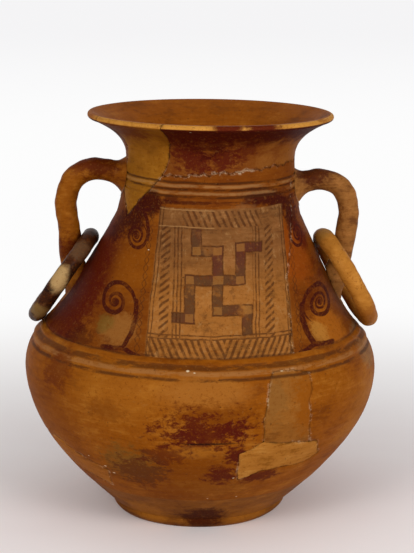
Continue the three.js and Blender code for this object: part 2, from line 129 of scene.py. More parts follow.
LIP_BOTTOM = RIM_HEIGHT - LIP_THICKNESS
print("jar", RIM_HEIGHT, "mm high and", 2 * BELLY_RADIUS, "mm wide")


# %% Small sums that the curves need
def mix(start, end, part):
    """The value that lies a part of the way from start to end."""
    return start + (end - start) * part


def share(value, start, end):
    """How far value lies between start and end, kept from 0 to 1."""
    return np.clip((value - start) / (end - start), 0, 1)


def smooth(value, start, end):
    """A share that leaves start and reaches end gently."""
    part = share(value, start, end)
    return part * part * (3 - 2 * part)


print("a gentle share of a quarter is", float(smooth(0.25, 0, 1)))


# %% The outer and the inner curve
def wall_radius(height):
    """The smooth outer radius of the jar before it sank."""
    h = np.asarray(height, float)
    ends = (
        FOOT_SIDE_HEIGHT, COLLAR_HEIGHT, BELLY_HEIGHT,
        CARINATION_HEIGHT, NECK_FOOT_HEIGHT, WAIST_HEIGHT,
    )
    up_shoulder = share(h, CARINATION_HEIGHT, NECK_FOOT_HEIGHT) ** SHOULDER_HOLLOW
    stretches = (
        mix(FOOT_SIDE_RADIUS, FOOT_RADIUS, share(h, FOOT_SIDE_HEIGHT, 0) ** FOOT_ROUNDING),
        mix(FOOT_SIDE_RADIUS, COLLAR_RADIUS, share(h, FOOT_SIDE_HEIGHT, COLLAR_HEIGHT)),
        mix(BELLY_RADIUS, COLLAR_RADIUS, share(h, BELLY_HEIGHT, COLLAR_HEIGHT) ** BELLY_FULLNESS),
        mix(BELLY_RADIUS, CARINATION_RADIUS, share(h, BELLY_HEIGHT, CARINATION_HEIGHT) ** 2),
        mix(CARINATION_RADIUS, NECK_FOOT_RADIUS, up_shoulder),
        mix(WAIST_RADIUS, NECK_FOOT_RADIUS, share(h, WAIST_HEIGHT, NECK_FOOT_HEIGHT) ** NECK_SPREAD),
    )
    flare = share(h, WAIST_HEIGHT, LIP_BOTTOM) ** RIM_FLARE
    rim = mix(WAIST_RADIUS, RIM_RADIUS - LIP_THICKNESS / 2, flare)
    return np.select([h < end for end in ends], stretches, rim)


def inner_radius(height):
    """The radius of the room inside, one wall thickness behind the outer curve."""
    h = np.asarray(height, float)
    slope = (wall_radius(h + 1) - wall_radius(h - 1)) / 2
    upper_wall = np.where(h < NECK_FOOT_HEIGHT, SHOULDER_WALL, NECK_WALL)
    wall = np.where(h < CARINATION_HEIGHT, BELLY_WALL, upper_wall)
    flare = share(h, WAIST_HEIGHT, RIM_HEIGHT) ** RIM_FLARE
    rim = mix(WAIST_RADIUS - NECK_WALL, RIM_RADIUS - LIP_THICKNESS, flare)
    return np.where(h > WAIST_HEIGHT, rim, wall_radius(h) - wall * np.hypot(1, slope))


for height in (0, COLLAR_HEIGHT, BELLY_HEIGHT, CARINATION_HEIGHT, NECK_FOOT_HEIGHT, WAIST_HEIGHT):
    print(f"height {height}: outer radius {float(wall_radius(height)):.1f} mm")

# %% [markdown]
# ## What the hand adds
# The jar sank a little while it was soft: belly and neck lean to the right and everything above the
# belly is tilted. Fingers and the burnishing stone leave broad swellings and narrow facets. A sum of
# a few waves in random directions gives such swellings without steps, and it is the same at each run.

# %% Sinking and unevenness
BELLY_LEAN = 1.2
BELLY_LEAN_FROM = 20
BELLY_LEAN_TO = 80
NECK_LEAN = 9.1
NECK_LEAN_FROM = 160
NECK_LEAN_EASE = 1.5
TILT_SLOPE = 0.013
TILT_FROM = 40
TILT_TO = 150
WAVES = 14


def lean(height):
    """How far the jar's middle has moved to the right at a height."""
    left = share(height, WAIST_HEIGHT, NECK_LEAN_FROM)
    belly = BELLY_LEAN * smooth(height, BELLY_LEAN_FROM, BELLY_LEAN_TO)
    return belly + NECK_LEAN * (1 - left**NECK_LEAN_EASE)


def tilt(height):
    """How steeply the jar drops towards the right at a height."""
    return TILT_SLOPE * smooth(height, TILT_FROM, TILT_TO)


def settle(points):
    """Moves points of the true jar to where the sunken jar has them."""
    x, y, z = np.asarray(points, float).T
    return np.stack([x + lean(z), y, z - tilt(z) * x], axis=1)


def unsettle(points):
    """Moves points of the sunken jar back to the true jar."""
    x, y, z = np.asarray(points, float).T
    true_x = x - lean(z)
    return np.stack([true_x, y, z + tilt(z) * true_x], axis=1)


def swelling(points, size, seed):
    """Smooth random highs and lows between -1 and 1, about one size apart."""
    draw = np.random.default_rng(seed)
    total = np.zeros(len(points))
    for _ in range(WAVES):
        direction = draw.normal(size=3)
        direction *= 2 * math.pi / (size * np.linalg.norm(direction))
        total += np.sin(points @ direction + draw.uniform(0, 2 * math.pi))
    return np.clip(total / math.sqrt(WAVES), -1, 1)


print(f"the rim has moved {float(lean(RIM_HEIGHT)):.1f} mm to the right")


# %% Points of the wall from a turn and a height
CORDON_HEIGHT = 156.4
CORDON_WIDTH = 5
CORDON_RELIEF = 1.1
CORDON_GROOVE_WIDTH = 3.8
CORDON_GROOVE_DEPTH = 0.9
NECK_GROOVE_HEIGHTS = (287.3, 293, 298.7)
NECK_GROOVE_WIDTH = 2.4
NECK_GROOVE_DEPTH = 0.9
EDGE_ROUNDING = 0.9
HAND_SWELLING = 0.35
HAND_SIZE = 70
HAND_SEED = 1
FACET_DEPTH = 0.09
FACET_SIZE = 7
FACET_SEED = 2
FACET_STRETCH = np.array([0.12, 0.12, 1])


def band(height, middle, width):
    """1 in the middle of a band round the jar, falling softly to 0 at its edges."""
    part = np.clip(np.abs(height - middle) / (width / 2), 0, 1)
    return 0.5 * (1 + np.cos(math.pi * part))


def relief(height):
    """Raised cordon, grooves and the worn shoulder edge, as a change of the outer radius."""
    change = CORDON_RELIEF * band(height, CORDON_HEIGHT, CORDON_WIDTH)
    off = (CORDON_WIDTH + CORDON_GROOVE_WIDTH) / 2
    for middle in (CORDON_HEIGHT - off, CORDON_HEIGHT + off):
        change = change - CORDON_GROOVE_DEPTH * band(height, middle, CORDON_GROOVE_WIDTH)
    for middle in NECK_GROOVE_HEIGHTS:
        change = change - NECK_GROOVE_DEPTH * band(height, middle, NECK_GROOVE_WIDTH)
    return change - EDGE_ROUNDING * band(height, CARINATION_HEIGHT, CORDON_WIDTH)


def around(turns, radii, heights):
    """Points on circles round the true jar. A turn of 0 is the front, and turns grow to the right."""
    return np.stack([radii * np.sin(turns), -radii * np.cos(turns), heights], axis=1)


def hand_made(turns, radii, heights):
    """The same points after the hand's swellings, never outside the smooth wall."""
    points = around(turns, radii, heights)
    uneven = HAND_SWELLING * (swelling(points, HAND_SIZE, HAND_SEED) - 1)
    facets = FACET_DEPTH * (swelling(points * FACET_STRETCH, FACET_SIZE, FACET_SEED) - 1)
    return around(turns, radii + uneven + facets, heights)


print("swelling of the wall up to", 2 * HAND_SWELLING, "mm")

# %% [markdown]
# ## The breaks
# The jar broke along cracks, and two areas are filled with ochre plaster. Each sherd is described by
# the corners of its crack, as a turn in degrees and a share of the wall's height. A crack isn't
# straight between its corners: it wavers, and a little noise is added where it runs.

# %% Corners of the cracks
BELLY_FILL_CRACK = (
    (14.5, 0.182), (23.9, 0.243), (40.8, 0.245), (47.2, 0.296), (42.4, 0.411), (20.7, 0.474), (12.9, 0.391),
)
BELLY_RIGHT_CRACK = (
    (20.7, 0.44), (39.8, 0.38), (36.8, 0.543), (35.7, 0.717), (37.6, 0.884), (31, 0.92), (24.3, 0.921),
    (22.1, 0.846), (21, 0.757), (19.8, 0.63),
)
BELLY_LEFT_CRACK = (
    (-75, 0.13), (-58, 0.11), (-40.3, 0.061), (-36.3, 0.199), (-44, 0.246), (-51, 0.276), (-59.4, 0.338),
    (-76, 0.31),
)
SHOULDER_CRACK = (
    (33.5, -0.1), (33.8, 0.014), (37.8, 0.218), (41.5, 0.391), (52.8, 0.582), (62.9, 0.728), (65.3, 0.865),
    (74.5, 0.986), (78, 1.1), (150, 1.1), (138, -0.1),
)
NECK_FILL_CRACK = (
    (-60.2, 0.039), (-51.2, 0.213), (-42.4, 0.325), (-34.8, 0.449), (-28.2, 0.629), (-22.9, 0.872),
    (-21, 1.2), (-62, 1.2), (-66.4, 0.769), (-73.3, 0.656), (-85, 0.334), (-71, 0.17),
)
NECK_BREAK_HEIGHT = 306
NECK_BREAK_RISE = 6
RAGGED_DEPTH = 1.3
RAGGED_WAVE = 26
RAGGED_STEP = 10
cracks = (BELLY_FILL_CRACK, BELLY_RIGHT_CRACK, BELLY_LEFT_CRACK, SHOULDER_CRACK, NECK_FILL_CRACK)
print("corners of the cracks", [len(crack) for crack in cracks])


# %% Cracks as wavering outlines, and the distance to them
def waver(run):
    """How far a break wavers aside after a run of so many millimetres."""
    turn = 2 * math.pi * run / RAGGED_WAVE
    return RAGGED_DEPTH / 2 * (np.sin(turn) + np.sin(turn * math.e))


def ragged(crack, radius, start, end):
    """The crack's corners as millimetres along the wall and height, with wavering edges."""
    corners = [np.array([math.radians(turn) * radius, mix(start, end, part)]) for turn, part in crack]
    area = sum(a[0] * b[1] - b[0] * a[1] for a, b in zip(corners, corners[1:] + corners[:1]))
    if area < 0:
        corners.reverse()
    points = []
    run = 0
    for corner, following in zip(corners, corners[1:] + corners[:1]):
        length = math.dist(corner, following)
        along = (following - corner) / length
        aside = np.array([along[1], -along[0]])
        steps = max(1, round(length / RAGGED_STEP))
        for part in np.arange(steps) / steps:
            depth = waver(run + part * length) * math.sin(math.pi * part)
            points.append(corner + along * length * part + aside * depth)
        run += length
    return np.array(points)


def inside_outline(places, outline):
    """Distance of each place to the outline in millimetres, more than 0 inside it."""
    nearest = np.full(len(places), np.inf)
    crossings = np.zeros(len(places), int)
    x, z = places.T
    for (x0, z0), (x1, z1) in zip(outline, np.roll(outline, -1, axis=0)):
        length = (x1 - x0) ** 2 + (z1 - z0) ** 2
        part = np.clip(((x - x0) * (x1 - x0) + (z - z0) * (z1 - z0)) / length, 0, 1)
        nearest = np.minimum(nearest, np.hypot(x - mix(x0, x1, part), z - mix(z0, z1, part)))
        if z0 != z1:
            spans = (z0 > z) != (z1 > z)
            crossings += spans & (x < x0 + (z - z0) * (x1 - x0) / (z1 - z0))
    return np.where(crossings % 2 == 1, nearest, -nearest)


print("a break wavers up to", RAGGED_DEPTH, "mm aside")

# %% [markdown]
# ## Cutting a fine wall into its pieces
# A solid boolean cut would leave long thin triangles along every crack. Instead the wall is laid out
# as a grid of turns and rows. For each piece every grid point knows how far inside the piece it is,
# and cells that the crack crosses are cut where that distance is zero. The same flat pattern then
# makes the outer face, the inner face and the broken edge between them, so each piece is closed.
# The outer faces are also laid on a flat painting sheet, which the painted shoulder needs later.

# %% Cut a grid along the line where a distance is zero
TURNS = 480
EDGE_MARGIN = 0.08


def cut_grid(inside):
    """Faces of the part of a ring-shaped grid that is inside, with corners as (row, turn) numbers."""
    rows, turns = inside.shape
    kept = inside > 0
    next_kept = np.roll(kept, -1, axis=1)
    corners_in = kept[:-1].astype(int) + next_kept[:-1] + next_kept[1:] + kept[1:]
    faces = []
    for row, turn in np.argwhere(corners_in == 4):
        after = (turn + 1) % turns
        faces.append([(row, turn), (row, after), (row + 1, after), (row + 1, turn)])
    for row, turn in np.argwhere((corners_in > 0) & (corners_in < 4)):
        after = (turn + 1) % turns
        cell = [(row, turn), (row, after), (row + 1, after), (row + 1, turn)]
        face = []
        for here, there in zip(cell, cell[1:] + cell[:1]):
            if kept[here]:
                face.append(here)
            if kept[here] != kept[there]:
                low, high = sorted((here, there))
                face.append((low, high))
        faces.append(face)
    return faces


def spot_of(corner, inside):
    """Row and turn of a grid corner, or of the crossing between two corners."""
    if not isinstance(corner[0], tuple):
        return corner
    (row, turn), (other_row, other_turn) = corner
    here, there = inside[row, turn], inside[other_row, other_turn]
    part = min(max(here / (here - there), EDGE_MARGIN), 1 - EDGE_MARGIN)
    if abs(other_turn - turn) > 1:
        turn, other_turn, part = other_turn, turn + inside.shape[1], 1 - part
    return mix(row, other_row, part), mix(turn, other_turn, part)


print("columns of the grid", TURNS)


# %% Make a smooth mesh
SHARP_CORNER = 38


def finish_mesh(name, verts, faces, sharp=SHARP_CORNER):
    """A smooth-shaded mesh object whose corners steeper than the sharp angle stay crisp."""
    mesh = bpy.data.meshes.new(name)
    mesh.from_pydata((np.asarray(verts) * MM).tolist(), [], faces)
    mesh.polygons.foreach_set("use_smooth", [True] * len(mesh.polygons))
    mesh.set_sharp_from_angle(angle=math.radians(sharp))
    piece = bpy.data.objects.new(name, mesh)
    scene.collection.objects.link(piece)
    return piece


print("corners over", SHARP_CORNER, "degrees stay crisp")

# %% Lay the outer faces on a flat sheet
PAPER_SCALE = 0.01
PANEL_AXIS = 6.3


def lay_out(piece, turns, heights, painted_faces):
    """Lays the outer faces on a flat painting sheet: run from the panel's middle, and height.

    The sheet is in decimetres and begins again on the back of the jar. Other faces lie off it.
    """
    mesh = piece.data
    sheet = np.full((len(mesh.loops), 2), -1.0)
    vertex = np.empty(len(mesh.loops), int)
    mesh.loops.foreach_get("vertex_index", vertex)
    for polygon in mesh.polygons[:painted_faces]:
        loops = list(polygon.loop_indices)
        turn = turns[vertex[loops]]
        turn = np.where(turn < turn.max() - math.pi, turn + 2 * math.pi, turn)
        half_turns = round(turn.mean() / math.pi)
        height = heights[vertex[loops]]
        run = (turn - half_turns * math.pi - math.radians(PANEL_AXIS)) * wall_radius(height)
        sheet[loops, 0] = run * PAPER_SCALE
        sheet[loops, 1] = height * PAPER_SCALE
    mesh.uv_layers.new(name="paint").data.foreach_set("uv", sheet.ravel())


print("the panel is turned", PANEL_AXIS, "degrees to the right")

# %% Turn the flat pattern into a closed piece
CHIP_REACH = 2.2
CHIP_DEPTH = 0.75
CHIP_SIZE = 9
CHIP_SEED = 3


def wall_piece(name, rows, inside, crack_distance):
    """A closed piece of the wall: rows are (outer radius, outer height, inner radius, inner height)."""
    pattern = cut_grid(inside)
    corners = {}
    for face in pattern:
        for corner in face:
            corners.setdefault(corner, len(corners))
    row, turn = np.array([spot_of(corner, inside) for corner in corners]).T
    count = len(corners)
    numbers = np.arange(len(rows))
    outer_r, outer_z, inner_r, inner_z = (np.interp(row, numbers, column) for column in np.array(rows).T)
    turns = math.radians(360) * turn / inside.shape[1] - math.pi
    gap = crack_distance(turns, outer_z)
    ragged_edge = 0.5 + 0.5 * swelling(around(turns, outer_r, outer_z), CHIP_SIZE, CHIP_SEED)
    chips = CHIP_DEPTH * ragged_edge * (1 - share(gap, 0, CHIP_REACH)) ** 2
    outside = hand_made(turns, outer_r - chips, outer_z)
    verts = settle(np.concatenate([outside, around(turns, inner_r, inner_z)]))
    front = [[corners[corner] for corner in face] for face in pattern]
    back = [[i + count for i in reversed(face)] for face in front]
    used = {(a, b) for face in front for a, b in zip(face, face[1:] + face[:1])}
    edge = [(b, a, a + count, b + count) for a, b in used if (b, a) not in used]
    piece = finish_mesh(name, verts, front + back + sorted(edge))
    lay_out(piece, turns, outer_z, len(front))
    closeness = np.zeros(2 * count)
    closeness[:count] = 1 - share(gap, 0, CHIP_REACH)
    piece.data.attributes.new("crack", "FLOAT", "POINT").data.foreach_set("value", closeness)
    return piece


print("chips reach", CHIP_REACH, "mm from a crack")

# %% Rows of the belly and of the upper wall
JOINT_GAP = 0.3
LUTED_GAP = 0.04
FIRST_CRACK = 150
LIP_ROWS = 8


def heights_from(*stops):
    """Heights at even steps between stops of (height, step)."""
    heights = [stops[0][0]]
    for (start, step), (end, _) in zip(stops, stops[1:]):
        count = max(1, round((end - start) / step))
        heights += [mix(start, end, (i + 1) / count) for i in range(count)]
    return np.array(heights)


def wall_rows(heights):
    """The outer and inner points of the wall at each height."""
    outer = wall_radius(heights) + relief(heights)
    return np.stack([outer, heights, inner_radius(heights), heights], axis=1)


belly_heights = heights_from(
    (COLLAR_HEIGHT + LUTED_GAP / 2, 1.9), (FIRST_CRACK - 2, 0.75), (CARINATION_HEIGHT - LUTED_GAP / 2, 1)
)
belly_rows = wall_rows(belly_heights)
upper_heights = heights_from(
    (CARINATION_HEIGHT + LUTED_GAP / 2, 0.8),
    (CARINATION_HEIGHT + 3, 1.6),
    (NECK_FOOT_HEIGHT - 6, 1.2),
    (NECK_GROOVE_HEIGHTS[0] - 2, 0.6),
    (NECK_GROOVE_HEIGHTS[-1] + 2, 1),
    (LIP_BOTTOM, 1),
)
upper_rows = wall_rows(upper_heights)
lip = LIP_THICKNESS / 2
lip_turns = np.radians(np.linspace(-90, 90, LIP_ROWS + 1))[1:]
lip_inner = np.linspace(LIP_BOTTOM, RIM_HEIGHT, LIP_ROWS + 1)[1:]
lip_rows = np.stack(
    [
        RIM_RADIUS - lip * (1 - np.cos(lip_turns)),
        RIM_HEIGHT - lip * (1 - np.sin(lip_turns)),
        inner_radius(lip_inner),
        lip_inner,
    ],
    axis=1,
)
upper_rows = np.concatenate([upper_rows, lip_rows])
print("rows of the belly", len(belly_rows), "and above it", len(upper_rows))

# %% Distances to the cracks over turns and heights
RAGGED_NOISE = 0.35
TEAR_SIZE = 6
TEAR_SEEDS = (4, 5)
UNBROKEN = 99


def places_on_wall(turns, heights, radius):
    """Millimetres along and up the wall, shaken a little so that a break looks torn."""
    places = np.stack([turns * radius, heights], axis=1)
    flat = np.stack([places[:, 0], places[:, 1], np.zeros(len(places))], axis=1)
    shake = np.stack([swelling(flat, TEAR_SIZE, seed) for seed in TEAR_SEEDS], axis=1)
    return places + RAGGED_NOISE * shake


belly_cracks = [
    ragged(crack, BELLY_RADIUS, COLLAR_HEIGHT, CARINATION_HEIGHT)
    for crack in (BELLY_FILL_CRACK, BELLY_RIGHT_CRACK, BELLY_LEFT_CRACK)
]
shoulder_crack = ragged(SHOULDER_CRACK, CARINATION_RADIUS, CARINATION_HEIGHT, NECK_BREAK_HEIGHT)
neck_fill_crack = ragged(NECK_FILL_CRACK, WAIST_RADIUS, NECK_FOOT_HEIGHT, RIM_HEIGHT)


def belly_distances(turns, heights):
    """Distance inside the plaster fill, the right sherd and the left sherd."""
    places = places_on_wall(turns, heights, BELLY_RADIUS)
    return [inside_outline(places, outline) for outline in belly_cracks]


def upper_distances(turns, heights):
    """Distance inside the neck's fill, above the neck's break and inside the shoulder's sherd."""
    neck_places = places_on_wall(turns, heights, WAIST_RADIUS)
    fill = inside_outline(neck_places, neck_fill_crack)
    run = np.mod(turns, 2 * math.pi) * WAIST_RADIUS
    break_height = NECK_BREAK_HEIGHT + NECK_BREAK_RISE * np.sin(turns) + waver(run)
    above = neck_places[:, 1] - break_height
    sherd = inside_outline(places_on_wall(turns, heights, CARINATION_RADIUS), shoulder_crack)
    return fill, above, sherd


def belly_crack_distance(turns, heights):
    """Distance to the nearest crack of the belly. The plaster has none inside it."""
    fill, right, left = belly_distances(turns, heights)
    sherds = np.minimum(np.abs(right), np.abs(left))
    return np.minimum(np.abs(fill), np.where(fill > 0, UNBROKEN, sherds))


def upper_crack_distance(turns, heights):
    """Distance to the nearest crack above the belly. The plaster has none inside it."""
    fill, above, sherd = upper_distances(turns, heights)
    rest = np.minimum(np.abs(above), np.where(above > 0, UNBROKEN, np.abs(sherd)))
    return np.minimum(np.abs(fill), np.where(fill > 0, UNBROKEN, rest))


print("outlines on the belly", len(belly_cracks))


# %% Make the wall's pieces
def on_grid(distances, rows):
    """The distances at every point of the grid, as one table for each."""
    turns = math.radians(360) * np.arange(TURNS) / TURNS - math.pi
    height_table, turn_table = np.meshgrid(np.array(rows)[:, 1], turns, indexing="ij")
    found = distances(turn_table.ravel(), height_table.ravel())
    return [values.reshape(height_table.shape) for values in found]


half = JOINT_GAP / 2
pieces = {}
fill, right, left = on_grid(belly_distances, belly_rows)
belly_parts = {
    "belly_fill": fill - half,
    "belly_sherd_right": np.minimum(right, -fill) - half,
    "belly_sherd_left": np.minimum(left, -fill) - half,
    "belly_wall": np.minimum.reduce([-fill, -right, -left]) - half,
}
fill, above, sherd = on_grid(upper_distances, upper_rows)
upper_parts = {
    "neck_fill": fill - half,
    "neck_wall": np.minimum(-fill, above) - half,
    "shoulder_sherd_right": np.minimum.reduce([-fill, -above, sherd]) - half,
    "shoulder_wall": np.minimum.reduce([-fill, -above, -sherd]) - half,
}
for parts, rows, crack_distance in (
    (belly_parts, belly_rows, belly_crack_distance),
    (upper_parts, upper_rows, upper_crack_distance),
):
    for name, inside in parts.items():
        pieces[name] = wall_piece(name + "_clay", rows, inside, crack_distance)
        print(name, len(pieces[name].data.polygons), "faces")

# %% [markdown]
# ## The foot
# The foot carries the whole jar on a rounded ring of clay. Below it is a shallow hollow, and inside
# lies the dished floor. All of it is one turned outline that starts and ends on the middle line.

# %% Make the foot
FLOOR_DISH = 3
FOOT_TURNS = 240
ROOF_START = 3
ROOF_STEPS = 12
ROOF_ROUNDING = 1.4
FLOOR_END = 0.03
FLOOR_STEPS = 24


def foot_outline():
    """Radius and height of the foot's outline, from the hollow's roof round to the floor's middle."""
    inner = float(inner_radius(COLLAR_HEIGHT))
    floor = FOOT_HOLLOW_DEPTH + FLOOR_THICKNESS
    top = COLLAR_HEIGHT - LUTED_GAP / 2
    seat = FOOT_RADIUS - FOOT_RIM_WIDTH
    roof = np.linspace(ROOF_START, seat - FOOT_HOLLOW_DEPTH, ROOF_STEPS)
    outline = [(r, FOOT_HOLLOW_DEPTH) for r in roof]
    for left in (0.75, 0.5, 0.25, 0):
        outline.append((seat - FOOT_HOLLOW_DEPTH * left, FOOT_HOLLOW_DEPTH * left**ROOF_ROUNDING))
    outline += [(mix(seat, FOOT_RADIUS, t), 0) for t in (0.3, 0.7)]
    outline += [(float(wall_radius(z)), z) for z in heights_from((0, 0.5), (2, 1), (top, 1))]
    outline += [(inner * t, mix(floor, top, t**FLOOR_DISH)) for t in np.linspace(1, FLOOR_END, FLOOR_STEPS)]
    return outline


def turned_piece(name, outline, count):
    """A closed turned piece with the hand's swellings on its outer face."""
    turns = 2 * math.pi * np.arange(count) / count
    radii, heights = np.array(outline).T
    rings = len(outline)
    all_turns = np.repeat(turns, rings)
    all_heights = np.tile(heights, count)
    smooth_points = around(all_turns, np.tile(radii, count), all_heights)
    swollen = hand_made(all_turns, np.tile(radii, count), all_heights)
    outer = np.tile(radii >= wall_radius(heights) - 0.01, count)[:, None]
    verts = settle(np.where(outer, swollen, smooth_points))
    faces = []
    for turn in range(count):
        a, b = turn * rings, (turn + 1) % count * rings
        faces += [(a + i, b + i, b + i + 1, a + i + 1) for i in range(rings - 1)]
    faces.append([turn * rings for turn in reversed(range(count))])
    faces.append([turn * rings + rings - 1 for turn in range(count)])
    return finish_mesh(name, verts, faces)


pieces["foot_ring"] = turned_piece("foot_ring_clay", foot_outline(), FOOT_TURNS)
print("foot faces", len(pieces["foot_ring"].data.polygons))

# %% [markdown]
# ## The handles
# Each handle is a roll of clay. It was bent from the neck over to the shoulder and pressed on while
# wet, so it is thicker at both ends and its foot is smeared out over the wall. A curve object with
# a bevel can't follow the wall, so the roll is made ring by ring, and ring points that would end
# inside the jar are drawn back to just under its surface. The photograph shows the left roll a
# little thicker than the right one, so each roll is thickened by its own small amount.

# %% The line that a handle follows
HANDLES = {
    "handle_left": {"side": -1, "span": 51.7, "rise": 37.9, "inward": 1.5},
    "handle_right": {"side": 1, "span": 47.4, "rise": 28.5, "inward": 2.4},
}
HANDLE_RADIUS = 9.6
THICKER = {"handle_left": 0.8, "handle_right": 0.2}
HANDLE_BEND = 25
HANDLE_ROOT_DROP = 8
HANDLE_SINK = 14.6
HANDLE_ROOT_SWELL = 3.4
HANDLE_FOOT_SWELL = 1.6
HANDLE_SWELL_LENGTH = 13
LEG_STRAIGHT = 25
LEG_FOOT_RISE = 36
LEG_ENTRY = 30
BAR_RINGS = 130
BAR_SIDES = 44
SMEAR_REACH = 7
SMEAR = 2.6
BURIED = 0.35
LINE_STEPS = 60


def smooth_line(points, count):
    """Points at even distances on a smooth curve through the given points."""
    points = [np.array(point, float) for point in points]
    points = [2 * points[0] - points[1], *points, 2 * points[-1] - points[-2]]
    line = []
    for before, start, end, after in zip(points, points[1:], points[2:], points[3:]):
        a, b, c = (math.dist(*pair) ** 0.5 for pair in ((before, start), (start, end), (end, after)))
        leave = ((start - before) / a - (end - before) / (a + b) + (end - start) / b) * b
        reach = ((end - start) / b - (after - start) / (b + c) + (after - end) / c) * b
        for t in np.linspace(0, 1, LINE_STEPS, endpoint=False):
            blend = (2 * t**3 - 3 * t**2 + 1, t**3 - 2 * t**2 + t, 3 * t**2 - 2 * t**3, t**3 - t**2)
            line.append(sum(w * v for w, v in zip(blend, (start, leave, end, reach))))
    line = np.array([*line, points[-2]])
    runs = np.concatenate([[0], np.cumsum(np.linalg.norm(np.diff(line, axis=0), axis=1))])
    even = np.linspace(0, runs[-1], count)
    return np.stack([np.interp(even, runs, column) for column in line.T], axis=1), even


def handle_line(side, span, rise, inward):
    """The handle's middle line in its own plane: out of the neck, round the crown, down to the shoulder."""
    top = NECK_FOOT_HEIGHT + rise
    axis = float(lean(top))
    crown = WAIST_RADIUS + span - HANDLE_BEND
    points = [(axis + side * (WAIST_RADIUS - HANDLE_SINK), top - HANDLE_ROOT_DROP)]
    for turn in np.radians([0, 45, 90]):
        out = crown + HANDLE_BEND * math.sin(turn)
        points.append((axis + side * out, top - HANDLE_BEND * (1 - math.cos(turn))))
    leg = (points[-1][0] - side * inward, points[-1][1] - LEG_STRAIGHT)
    foot_height = CARINATION_HEIGHT + LEG_FOOT_RISE
    foot_radius = float(wall_radius(foot_height))
    foot = settle([(side * foot_radius, 0, foot_height)])[0][[0, 2]]
    entry = math.radians(LEG_ENTRY)
    end = foot - HANDLE_SINK * np.array([side * math.sin(entry), math.cos(entry)])
    return smooth_line([*points, leg, foot, end], BAR_RINGS)


print("bars of the measured handles are", 2 * HANDLE_RADIUS, "mm thick")


# %% Roll the handles and smear them onto the wall
HANDLE_SEED = 20
HANDLE_HOLLOWS = ((0.5, 30), (0.2, 9))
HANDLE_CORNER = 70


def off_wall(points):
    """How far points lie outside the jar's wall, measured level with them."""
    x, y, z = unsettle(points).T
    return np.hypot(x, y) - wall_radius(z)


def drawn_back(points):
    """Points that lie inside the jar, moved out to just under its surface."""
    true = unsettle(points)
    radius = np.hypot(true[:, 0], true[:, 1])
    least = wall_radius(true[:, 2]) - BURIED
    grow = np.where(radius < least, least / np.maximum(radius, 1), 1)
    true[:, :2] *= grow[:, None]
    return settle(true)


def hollows(points, kinds, seed):
    """Shallow hollows of hand-rolled clay, in kinds of (depth, size)."""
    total = np.zeros(len(points))
    for number, (depth, size) in enumerate(kinds):
        total += depth * (swelling(points, size, seed + number) - 1)
    return total


def rolled_bar(name, line, runs, thicker, seed):
    """A roll of clay along a line in the plane of the handles."""
    swollen = HANDLE_SINK + HANDLE_SWELL_LENGTH
    radii = HANDLE_RADIUS + HANDLE_ROOT_SWELL * (1 - smooth(runs, HANDLE_SINK, swollen))
    radii += HANDLE_FOOT_SWELL * (1 - smooth(runs[-1] - runs, HANDLE_SINK, swollen))
    ahead = np.gradient(line, axis=0)
    ahead /= np.linalg.norm(ahead, axis=1)[:, None]
    sides = 2 * math.pi * np.arange(BAR_SIDES) / BAR_SIDES
    across = np.stack([ahead[:, 1], np.zeros(len(line)), -ahead[:, 0]], axis=1)
    middle = np.stack([line[:, 0], np.zeros(len(line)), line[:, 1]], axis=1)
    aside = np.cos(sides)[None, :, None]
    behind = np.sin(sides)[None, :, None]
    out = across[:, None] * aside + np.array([0, 1, 0]) * behind
    radii += thicker
    points = (middle[:, None] + out * radii[:, None, None]).reshape(-1, 3)
    smeared = SMEAR * (1 - share(off_wall(points), 0, SMEAR_REACH)) ** 2
    uneven = hollows(points, HANDLE_HOLLOWS, seed)
    points = points + out.reshape(-1, 3) * (smeared + uneven)[:, None]
    ends = np.stack([middle[0], middle[-1]])
    verts = drawn_back(np.concatenate([points, ends]))
    faces = []
    for ring in range(len(line) - 1):
        for side in range(BAR_SIDES):
            a = ring * BAR_SIDES + side
            b = ring * BAR_SIDES + (side + 1) % BAR_SIDES
            faces.append((a, a + BAR_SIDES, b + BAR_SIDES, b))
    first, last = len(points), len(points) + 1
    tail = (len(line) - 1) * BAR_SIDES
    for side in range(BAR_SIDES):
        after = (side + 1) % BAR_SIDES
        faces.append((first, side, after))
        faces.append((last, tail + after, tail + side))
    return finish_mesh(name, verts, faces, HANDLE_CORNER)


for seed, (name, handle) in enumerate(HANDLES.items(), HANDLE_SEED):
    line, runs = handle_line(**handle)
    pieces[name] = rolled_bar(name + "_clay", line, runs, THICKER[name], seed)
    print(name, "runs", round(runs[-1]), "mm")

# %% [markdown]
# ## The loose rings
# Each ring is a roll of clay closed round a handle before firing. Its place comes from the measured
# model: the joint's pivot is the middle of the clay at the top of the ring, and the middle of the
# measured piece is the middle of the ring.

# %% Make the rings
RING_SECTIONS = {"ring_left": 15.6, "ring_right": 16.6}
RING_STEPS = 150
RING_SIDES = 36
RING_SEED = 40
RING_HOLLOWS = ((0.35, 34), (0.14, 8))


